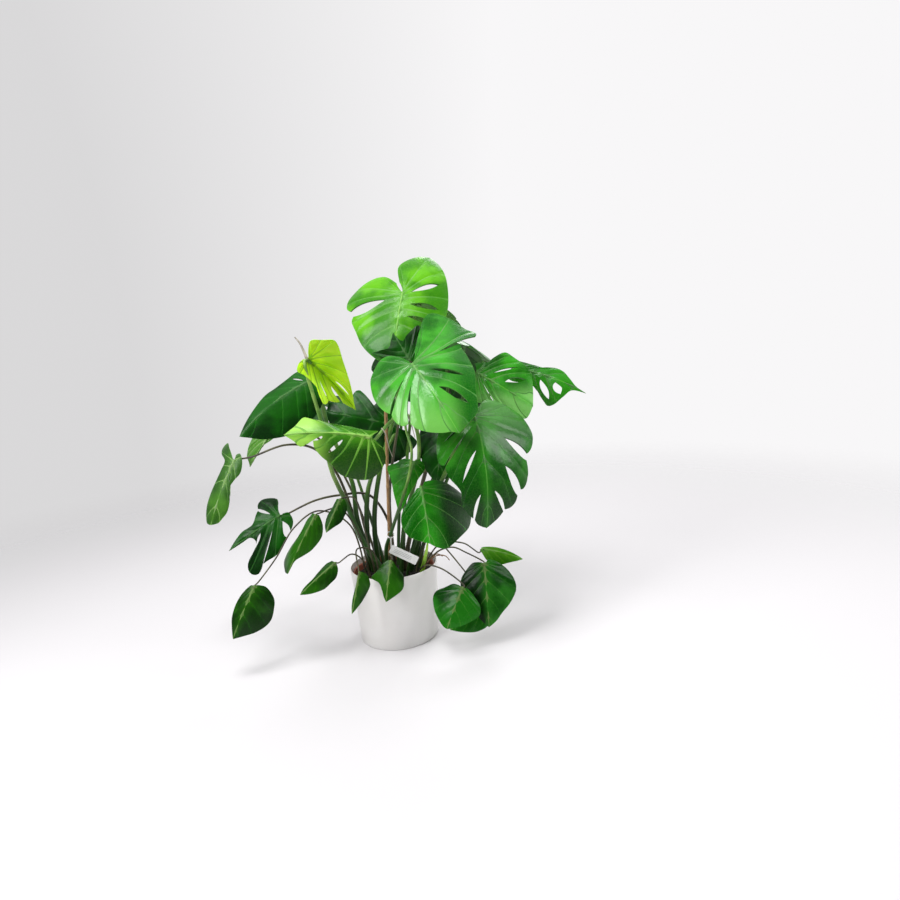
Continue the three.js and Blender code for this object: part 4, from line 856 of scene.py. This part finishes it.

# The pale young leaf below it is lime green, with one hole and one split, on a thick pale petiole.
# It has only lately unrolled, and two dry strands still hang from its petiole.
# The lime face darkens low down, where its near half hangs: painted shade.
lime_upper = leaf_skin(
    "lime_green_face", tint(30, 92, 4), tint(66, 136, 16), tint(140, 196, 74), roughness=0.34,
    through=0.2,
    fades=(("Z", tint(22, 72, 0), 0.585, 0.555), ("X", tint(142, 194, 74), -0.085, -0.145)),
)
lime_under = leaf_skin(
    "lime_green_back", tint(70, 130, 34), tint(112, 170, 58), tint(170, 210, 110), roughness=0.5,
    through=0.2,
)
LIME = [lime_upper, lime_under, pale_stalk, dry_sheath]
grow_leaf(
    "leaf_young_light", LIME, form="split", root=(0.02, -0.008),
    via=((0.042, 0.002, 0.321), (0.092, 0.01, 0.47), (0.098, -0.025, 0.575), (0.075, -0.085, 0.622),
        (0.042, -0.13, 0.612)), stalk=(0.0065, 0.004), joint=(-0.002, -0.19, 0.587),
    tip=(-0.196, -0.222, 0.612), face=(0, -0.5, 0.85), width=0.225, droop=24, fold=(-45, 12), curl=(25, 8),
    left="----ov", left_seams=(13, 26, 40, 52, 64, 80), relief=0.7, swell=0.001,
    left_margin=((2, -5), (9, -17), (19, -24), (31, -22), (42, -13), (47, 2), (47, 18), (43, 32), (33, 44),
        (25, 57), (16, 66), (8.5, 70), (14, 82), (7, 90)),
    right_margin=((6, -5), (10, -8), (8, 6), (10, 24), (12, 44), (15, 57), (19, 70), (21, 79), (10, 88)),
    strands=(((0.022, -0.163, 0.603), (0.029, -0.166, 0.592), (0.033, -0.168, 0.574),
        (0.036, -0.168, 0.553), (0.042, -0.167, 0.532)), ((0.082, -0.082, 0.62), (0.089, -0.084, 0.597),
        (0.092, -0.086, 0.58), (0.095, -0.085, 0.562))),
)

# These leaves stand behind the large ones, where little light reaches them.
# They are dark, with few splits, on green or brownish petioles.
grow_leaf(
    "leaf_back_dark", SHADE_ON_GREEN_STALK, root=(-0.074, 0.03), via=((-0.06, 0.034, 0.381), (-0.043, 0.045, 0.44)),
    stalk=(0.009, 0.004), joint=(0.033, 0.11, 0.573), tip=(-0.163, 0.13, 0.626), face=(-0.1, -1, 0.25),
    width=0.21, fold=-10,
    left_margin=((4, -13), (10, -27), (18, -36), (33, -30), (48, -18), (59, 0), (55, 30), (42, 59),
        (28, 79), (16, 93)),
    right_margin=((12, -10), (35, 0), (38, 14), (30, 29), (17, 39), (20, 47), (38, 58), (38, 67), (25, 72),
        (17, 85), (13, 99)),
)
grow_leaf(
    "leaf_back_mid", SHADE, root=(0.028, 0.012), via=((0.07, 0.03, 0.33), (0.14, 0.04, 0.52)),
    stalk=(0.008, 0.0036), joint=(0.187, 0, 0.589), tip=(0.137, -0.02, 0.428), face=(-0.2, -1, 0.2),
    width=0.165, fold=-10,
)
grow_leaf(
    "leaf_back_top", DEEP, root=(0.008, 0.052), via=((0.03, 0.12, 0.42),), stalk=(0.006, 0.0028),
    joint=(0.066, 0.228, 0.765), tip=(0.095, 0.318, 0.612), face=(0, 0.8, 0.6), width=0.22, left="-vv",
    right="-vv",
)
grow_leaf(
    "leaf_back_right", SHADE, root=(0.072, 0.046), via=((0.13, 0.11, 0.38), (0.185, 0.17, 0.56)),
    stalk=(0.006, 0.0028), joint=(0.203, 0.19, 0.722), tip=(0.262, 0.205, 0.57), face=(0.2, 0.75, 0.55),
    width=0.2, left="-v", right="--v",
)
grow_leaf(
    "leaf_back_left", DEEP, root=(-0.036, 0.066), via=((-0.09, 0.13, 0.4),), stalk=(0.006, 0.0028),
    joint=(-0.17, 0.18, 0.66), tip=(-0.28, 0.26, 0.57), face=(-0.4, 0.5, 0.8), width=0.2, left="-v",
    right="-vv",
)

# Two leaves show behind the crown leaf and the glossy leaf, and a small dark one between those two.
# The small one is young, with a few pointed lobes.
grow_leaf(
    "leaf_top_back", BRIGHT, root=(0.022, 0.062), via=((0.06, 0.11, 0.5), (0.11, 0.12, 0.76)),
    stalk=(0.006, 0.0028), joint=(0.125, 0.1, 0.905), tip=(0.222, 0.2, 0.8), face=(0.3, 0.4, 0.9),
    width=0.2, droop=40, left="-v", right="-vv",
)
grow_leaf(
    "leaf_right_back", MEADOW, root=(0.06, 0.052), via=((0.125, 0.1, 0.4), (0.185, 0.13, 0.64)),
    stalk=(0.006, 0.0028), joint=(0.205, 0.105, 0.806), tip=(0.325, 0.172, 0.703), face=(0.5, 0.3, 0.85),
    width=0.2, left="-v", right="-v",
)
grow_leaf(
    "leaf_curled", SHADE, root=(0.004, -0.002), via=((0.008, 0, 0.4), (0.06, -0.03, 0.62)),
    stalk=(0.0045, 0.0026), joint=(0.1, -0.07, 0.754), tip=(0.062, -0.055, 0.827), face=(0, -1, -0.1),
    width=0.113, droop=10, fold=(-4, 4), relief=0.4,
    left_margin=((2, 5), (19, 23), (35, 43), (56, 65), (73, 92), (49, 81), (27, 69), (13, 84)),
    right_margin=((3, -6), (34, 26), (56, 62), (57, 77), (44, 77), (23, 70), (9, 62), (3, 77)),
)

# Three leaves hang out far to the left on long, thin, arching petioles.
# The lowest one is dark and deeply split.
moss_upper = leaf_skin(
    "moss_green_face", tint(30, 76, 10), tint(66, 120, 28), tint(96, 146, 54), roughness=0.38,
    through=0.15,
)
moss_under = leaf_skin(
    "moss_green_back", tint(84, 122, 62), tint(112, 148, 84), tint(150, 180, 116), roughness=0.55,
    through=0.15,
)
MOSS = [moss_upper, moss_under, dark_stalk]
grow_leaf(
    "leaf_left_hanging", MOSS, root=(-0.076, 0.052),
    via=((-0.1, 0.045, 0.32), (-0.14, 0.04, 0.47), (-0.184, 0, 0.543), (-0.252, -0.01, 0.559),
        (-0.343, -0.02, 0.536)), stalk=(0.005, 0.002), joint=(-0.391, -0.02, 0.531),
    tip=(-0.461, -0.06, 0.37), face=(-0.3, -1, 0.3), width=0.15, droop=20, fold=-10, left="--v", relief=0.4,
    swell=0.001,
    left_margin=((-1, -8), (5, -12), (15, -2), (20, 14), (15, 28), (12, 42), (19, 53), (22, 65), (22, 76),
        (17, 86), (12, 94)),
    right_margin=((10, -6), (23, -14), (39, -23), (49, -15), (40, -4), (21, 5), (20, 20), (21, 34),
        (23, 58), (22, 80), (12, 99)),
)
grow_leaf(
    "leaf_left_tip", MOSS, root=(-0.052, 0.058), via=((-0.11, 0.09, 0.4), (-0.19, 0.09, 0.56)),
    stalk=(0.004, 0.0024), joint=(-0.29, 0.06, 0.6), tip=(-0.375, 0.05, 0.497), face=(-0.3, -0.95, 0.4),
    width=0.15, fold=-15, left_margin=((11, 13), (7, 30), (1, 50), (-1, 83)),
    right_margin=((31, 25), (46, 56), (36, 74), (28, 90), (10, 95)),
)
grow_leaf(
    "leaf_low_split", SHADE, root=(-0.014, 0.084),
    via=((-0.008, 0.084, 0.28), (-0.055, 0.066, 0.385), (-0.132, 0.01, 0.406), (-0.194, -0.02, 0.403)),
    stalk=(0.005, 0.002), joint=(-0.277, -0.06, 0.382), tip=(-0.392, -0.14, 0.321), face=(0, -0.85, 0.55),
    width=0.21, droop=20, fold=(-12, -5), curl=15, left="vvv", right="-v", left_seams=(20, 42, 72, 85),
    right_seams=(25, 50, 70, 85),
    left_margin=((0, -6), (3, -15), (15, -13), (25, -1), (33, 20), (39, 42), (39, 65), (42, 80), (46, 90),
        (41, 97), (33, 98), (25, 90), (19, 72), (11, 59), (3, 62), (2, 77), (1, 91)),
    right_margin=((12, -5), (22, -17), (31, -10), (35, 3), (31, 18), (21, 29), (10, 46), (10, 66), (5, 86)),
)

# The small leaves in front and low round the pot are whole: the plant's first leaves, heart-shaped or oval.
# They stand on short thin petioles, and most of them lean out over the rim.
grow_leaf(
    "leaf_centre_small", MEADOW, form="whole", root=(0.022, -0.025),
    via=((0.04, -0.04, 0.3), (0.06, -0.07, 0.44)), stalk=(0.004, 0.0024), joint=(0.091, -0.098, 0.504),
    tip=(0.041, -0.132, 0.379), face=(-0.1, -0.8, 0.6), width=0.119, droop=40, fold=-12, relief=0.4,
    swell=0.001, left_margin=((6, -6), (20, -1), (26, 11), (20, 30), (13, 54), (8, 80)),
    right_margin=((14, -2), (33, -1), (49, 8), (71, 20), (45, 45), (24, 69), (8, 89)),
)
# The heart leaf's right half is darkened: painted shade.
heart_upper = leaf_skin(
    "heart_green_face", tint(6, 84, 2), tint(44, 144, 26), tint(130, 196, 96), roughness=0.28,
    fades=(("X", tint(0, 56, 0), 0.12, 0.17),), shine=0.13,
)
HEART = [heart_upper, meadow_under, stalk_green]
grow_leaf(
    "leaf_centre_heart", HEART, form="whole", root=(0.038, -0.035),
    via=((0.08, -0.06, 0.3), (0.125, -0.115, 0.4)), stalk=(0.004, 0.0024), joint=(0.105, -0.184, 0.456),
    tip=(0.117, -0.24, 0.331), face=(0.2, -1, 0.3), width=0.182, droop=20, fold=(-20, -6), relief=0.35,
    swell=0.001,
    left_margin=((6, -10), (22, -15), (45, -14), (69, -2), (87, 19), (94, 49), (83, 79), (53, 98),
        (27, 113), (11, 109)),
    right_margin=((6, 1), (15, 15), (25, 30), (32, 45), (33, 62), (28, 79), (20, 88)),
)
olive_upper = leaf_skin(
    "olive_green_face", tint(6, 42, 0), tint(32, 88, 4), tint(50, 102, 14), roughness=0.3, shine=0.18,
)
olive_under = leaf_skin(
    "olive_green_back", tint(52, 84, 34), tint(78, 112, 48), tint(120, 150, 80), roughness=0.55,
)
OLIVE = [olive_upper, olive_under, dark_stalk]
grow_leaf(
    "leaf_oval", OLIVE, form="whole", root=(-0.078, -0.012),
    via=((-0.109, 0, 0.323), (-0.182, -0.04, 0.38), (-0.24, -0.08, 0.35), (-0.284, -0.12, 0.286)),
    stalk=(0.0026, 0.0017), joint=(-0.329, -0.17, 0.238), tip=(-0.391, -0.2, 0.114), face=(-0.1, -1, 0.25),
    width=0.118, droop=20, relief=0.25, swell=0.0006,
    left_margin=((6, -2), (23, -4), (40, 4), (54, 17), (60, 38), (56, 59), (40, 76), (19, 89)),
    right_margin=((8, 3), (16, 15), (21, 29), (23, 48), (20, 66), (11, 83)),
)
grow_leaf(
    "leaf_low_b", OLIVE, form="whole", root=(-0.064, -0.032),
    via=((-0.085, -0.04, 0.32), (-0.12, -0.07, 0.39)), stalk=(0.0026, 0.0018), joint=(-0.169, -0.12, 0.393),
    tip=(-0.247, -0.16, 0.256), face=(-0.3, -0.9, 0.3), width=0.1, droop=20, fold=-30, relief=0.25,
    swell=0.0005, left_margin=((8, -1), (30, 11), (40, 30), (34, 51), (18, 66), (6, 76), (1, 88)),
    right_margin=((16, 0), (28, 17), (27, 35), (36, 58), (70, 84), (22, 101)),
)
grow_leaf(
    "leaf_low_c", OLIVE, form="whole", root=(-0.046, -0.045),
    via=((-0.06, -0.06, 0.32), (-0.075, -0.09, 0.42)), stalk=(0.0026, 0.0017), joint=(-0.102, -0.12, 0.429),
    tip=(-0.14, -0.16, 0.354), face=(-0.2, -0.95, 0.3), width=0.066, droop=20, fold=-20, relief=0.25,
    swell=0.0004, left_margin=((12, -2), (34, 12), (43, 40), (36, 63), (18, 82)),
    right_margin=((17, 4), (20, 32), (27, 60), (18, 84)),
)
grow_leaf(
    "leaf_low_d", OLIVE, form="whole", root=(-0.058, -0.058),
    via=((-0.07, -0.07, 0.24), (-0.095, -0.105, 0.275)), stalk=(0.0024, 0.0016),
    joint=(-0.132, -0.125, 0.264), tip=(-0.221, -0.17, 0.202), face=(-0.2, -0.8, 0.55), width=0.08,
    droop=20, fold=-25, relief=0.25, swell=0.0004,
    left_margin=((7, 1), (26, 8), (40, 24), (42, 45), (36, 65), (22, 83)),
    right_margin=((19, 3), (28, 20), (18, 43), (11, 65), (11, 85)),
)
grow_leaf(
    "leaf_front_a", OLIVE, form="whole", root=(-0.034, -0.062),
    via=((-0.045, -0.065, 0.265), (-0.08, -0.1, 0.285)), stalk=(0.0024, 0.0016),
    joint=(-0.072, -0.148, 0.244), tip=(-0.096, -0.18, 0.145), face=(0.3, -1, 0.2), width=0.072, droop=20,
    fold=(-10, -50), relief=0.25, swell=0.0004,
    left_margin=((12, 1), (33, 6), (51, 24), (47, 44), (32, 66), (15, 85)),
    right_margin=((3, 5), (3, 23), (5, 46), (8, 77)),
)
grow_leaf(
    "leaf_front_b", OLIVE, form="whole", root=(-0.005, -0.055), via=((-0.002, -0.07, 0.25),),
    stalk=(0.0028, 0.0018), joint=(0.008, -0.122, 0.257), tip=(-0.01, -0.165, 0.163), face=(-0.1, -1, 0.4),
    width=0.092, droop=24, fold=-14, relief=0.25, swell=0.0005,
    left_margin=((6, 2), (19, 15), (40, 32), (45, 49), (42, 69), (23, 85)),
    right_margin=((9, 0), (24, 10), (41, 28), (58, 46), (29, 57), (16, 73), (8, 89)),
)
forest_upper = leaf_skin(
    "forest_green_face", tint(2, 58, 0), tint(26, 106, 14), tint(50, 126, 34), roughness=0.26, shine=0.17,
)
FOREST = [forest_upper, olive_under, dark_stalk]
grow_leaf(
    "leaf_right_a", FOREST, form="whole", root=(0.066, -0.054),
    via=((0.09, -0.07, 0.215), (0.135, -0.098, 0.213)), stalk=(0.0026, 0.0017), joint=(0.186, -0.13, 0.172),
    tip=(0.137, -0.17, 0.08), face=(-0.2, -1, 0.5), width=0.125, fold=-12, relief=0.3, swell=0.0012,
    left_margin=((11, -1), (31, 9), (48, 23), (55, 43), (40, 68), (20, 88)),
    right_margin=((10, -1), (24, 0), (40, 13), (57, 28), (60, 49), (47, 71), (28, 87), (11, 98)),
)
grow_leaf(
    "leaf_right_b", FOREST, form="whole", root=(0.062, -0.01),
    via=((0.112, -0.03, 0.285), (0.146, -0.058, 0.258)), stalk=(0.0026, 0.0017),
    joint=(0.254, -0.075, 0.089), tip=(0.143, -0.11, 0.047), face=(0, -0.8, 0.6), width=0.105, droop=20,
    fold=-10, relief=0.3, swell=0.0008, left_margin=((16, 2), (35, 16), (42, 35), (36, 58), (20, 81)),
    right_margin=((17, -5), (33, 12), (41, 35), (32, 60), (18, 84)),
)
half_lit_upper = leaf_skin(
    "half_lit_green_face", tint(6, 70, 2), tint(40, 118, 26), tint(60, 134, 46), roughness=0.28,
    fades=(("X", tint(0, 36, 0), 0.262, 0.232),), shine=0.15,
)
HALF_LIT = [half_lit_upper, olive_under, dark_stalk]
grow_leaf(
    "leaf_right_c", HALF_LIT, form="whole", root=(0.084, -0.014),
    via=((0.125, -0.025, 0.235), (0.167, -0.03, 0.246), (0.204, -0.045, 0.232)), stalk=(0.0026, 0.0017),
    joint=(0.247, -0.075, 0.211), tip=(0.245, -0.14, 0.061), face=(0, -1, 0.4), width=0.17, fold=-12,
    relief=0.3, swell=0.001,
    left_margin=((8, -7), (23, -2), (38, 9), (49, 26), (51, 45), (39, 65), (24, 79), (12, 92)),
    right_margin=((5, -2), (18, -3), (30, 7), (40, 21), (41, 36), (35, 51), (28, 65), (19, 79), (9, 92)),
)
bright_upper = leaf_skin("bright_green_face", *BRIGHT_GREENS, roughness=0.29)
SUNNY = [bright_upper, bright_under, dark_stalk]
grow_leaf(
    "leaf_right_point", SUNNY, form="whole", root=(0.086, 0.008),
    via=((0.13, 0.02, 0.24), (0.197, 0.015, 0.24)), stalk=(0.0026, 0.0017), joint=(0.245, 0.005, 0.222),
    tip=(0.356, -0.025, 0.194), face=(0, -0.2, 1), width=0.076, droop=20, fold=(30, -50), curl=(0, 20),
    relief=0.3, left_margin=((6, 0), (12, 12), (15, 35), (13, 60), (6, 85)),
    right_margin=((0, -3), (14, 3), (40, 20), (45, 44), (31, 69), (14, 88)),
)

# The plant label is a white plastic strip with a loop that closes round the glossy leaf's petiole.
# It hangs aslant over the soil, and its face carries a few faint ruled lines.
LABEL_CENTRE = Vector((0.038, -0.08, 0.253))
LABEL_LENGTH, LABEL_THICKNESS, LABEL_WIDTH = 0.078, 0.0009, 0.024
LABEL_CORNER, LABEL_INSET = 0.003, 0.003
LABEL_TILT = math.radians(31)
LOOP_PLACE, LOOP_RADIUS, LOOP_THICKNESS = 0.26, 0.0095, 0.0008
STRAP_WIDTH, STRAP_CORNER = 0.005, 0.001
RULED_LINES, LINE_HALF = (0.004, 0.0, -0.004), 0.0004
LINES_MIDDLE, LINES_REACH = -0.004, 0.026
slope = Matrix.Rotation(LABEL_TILT, 4, "Y")


def bar(mesh, length, width, corner, place):
    """A flat bar with rounded corners, laid along X and set in place."""
    box = place @ Matrix.Diagonal((length, LABEL_THICKNESS, width, 1))
    corners = bmesh.ops.create_cube(mesh, size=1, matrix=box)["verts"]
    across = (place @ Vector((0, 1, 0, 0))).xyz
    upright = [
        edge for edge in {edge for vertex in corners for edge in vertex.link_edges}
        if abs((edge.verts[1].co - edge.verts[0].co).normalized().dot(across)) > 0.9
    ]
    bmesh.ops.bevel(
        mesh, geom=upright, offset=corner, affect="EDGES", segments=5, profile=0.5, material=-1,
        clamp_overlap=True,
    )


travelled = [0]
for start, end in zip(glossy_petiole, glossy_petiole[1:]):
    travelled.append(travelled[-1] + (end - start).length)
step = next(i for i, reach in enumerate(travelled) if reach > LOOP_PLACE * travelled[-1])
loop_centre = glossy_petiole[step]
loop_axis = (loop_centre - glossy_petiole[step - 1]).normalized()
loop_place = Matrix.Translation(loop_centre) @ loop_axis.to_track_quat("Z", "Y").to_matrix().to_4x4()
half, inner = STRAP_WIDTH / 2, LOOP_RADIUS - LOOP_THICKNESS
band = [(LOOP_RADIUS, height) for height in (-half, -half / 2, half / 2, half)]
band += [(inner, half), (inner, -half)]
label = bmesh.new()
rim = [label.verts.new(loop_place @ Vector((radius, 0, height))) for radius, height in band]
edges = [label.edges.new((rim[i - 1], rim[i])) for i in range(len(rim))]
bmesh.ops.spin(
    label, geom=rim + edges, cent=loop_centre, axis=loop_axis, dvec=(0, 0, 0),
    angle=2 * math.pi, steps=48, use_merge=True, use_duplicate=False,
)
bar(label, LABEL_LENGTH, LABEL_WIDTH, LABEL_CORNER, Matrix.Translation(LABEL_CENTRE) @ slope)
plate_end = LABEL_CENTRE + slope @ Vector((LABEL_INSET - LABEL_LENGTH / 2, 0, 0))
strap = plate_end - loop_centre
strap_foot = loop_centre + strap.normalized() * LOOP_RADIUS
strap_middle = Matrix.Translation((plate_end + strap_foot) / 2)
strap_place = strap_middle @ strap.to_track_quat("X", "Z").to_matrix().to_4x4()
bar(label, (plate_end - strap_foot).length, STRAP_WIDTH, STRAP_CORNER, strap_place)
bmesh.ops.recalc_face_normals(label, faces=label.faces)
card, tree, shader, where = new_finish("white_label_plastic", roughness=0.38)
level = wired(tree, "ShaderNodeMapping", {
    "Vector": where, "Location": LABEL_CENTRE, "Rotation": (0, LABEL_TILT, 0),
}, vector_type="TEXTURE")
spot = wired(tree, "ShaderNodeSeparateXYZ", {"Vector": level.outputs["Vector"]}).outputs


def within(value, middle, reach):
    """1 where a value lies within reach of the middle, and 0 elsewhere."""
    return wired(tree, "ShaderNodeMath", {
        0: value, 1: middle, 2: reach,
    }, operation="COMPARE").outputs["Value"]


cloudy = ramp(tree, speckle(tree, where, scale=60, detail=2), low=0.4, high=0.7)
plain = blended(tree, cloudy, tint(236, 236, 234), tint(246, 246, 245))
for height in RULED_LINES:
    ruled = wired(tree, "ShaderNodeMath", {
        0: within(spot["Z"], height, LINE_HALF), 1: within(spot["X"], LINES_MIDDLE, LINES_REACH),
    }, operation="MULTIPLY")
    plain = blended(tree, ruled.outputs["Value"], plain, tint(150, 152, 156))
tree.links.new(plain, shader.inputs["Base Color"])
label_strip = place_piece("white_plant_label", label, [card])
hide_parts("label")

size = {"cad": [list(cad_low), list(cad_high)]}
low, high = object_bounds()
size["visual"] = [list(low), list(high)]
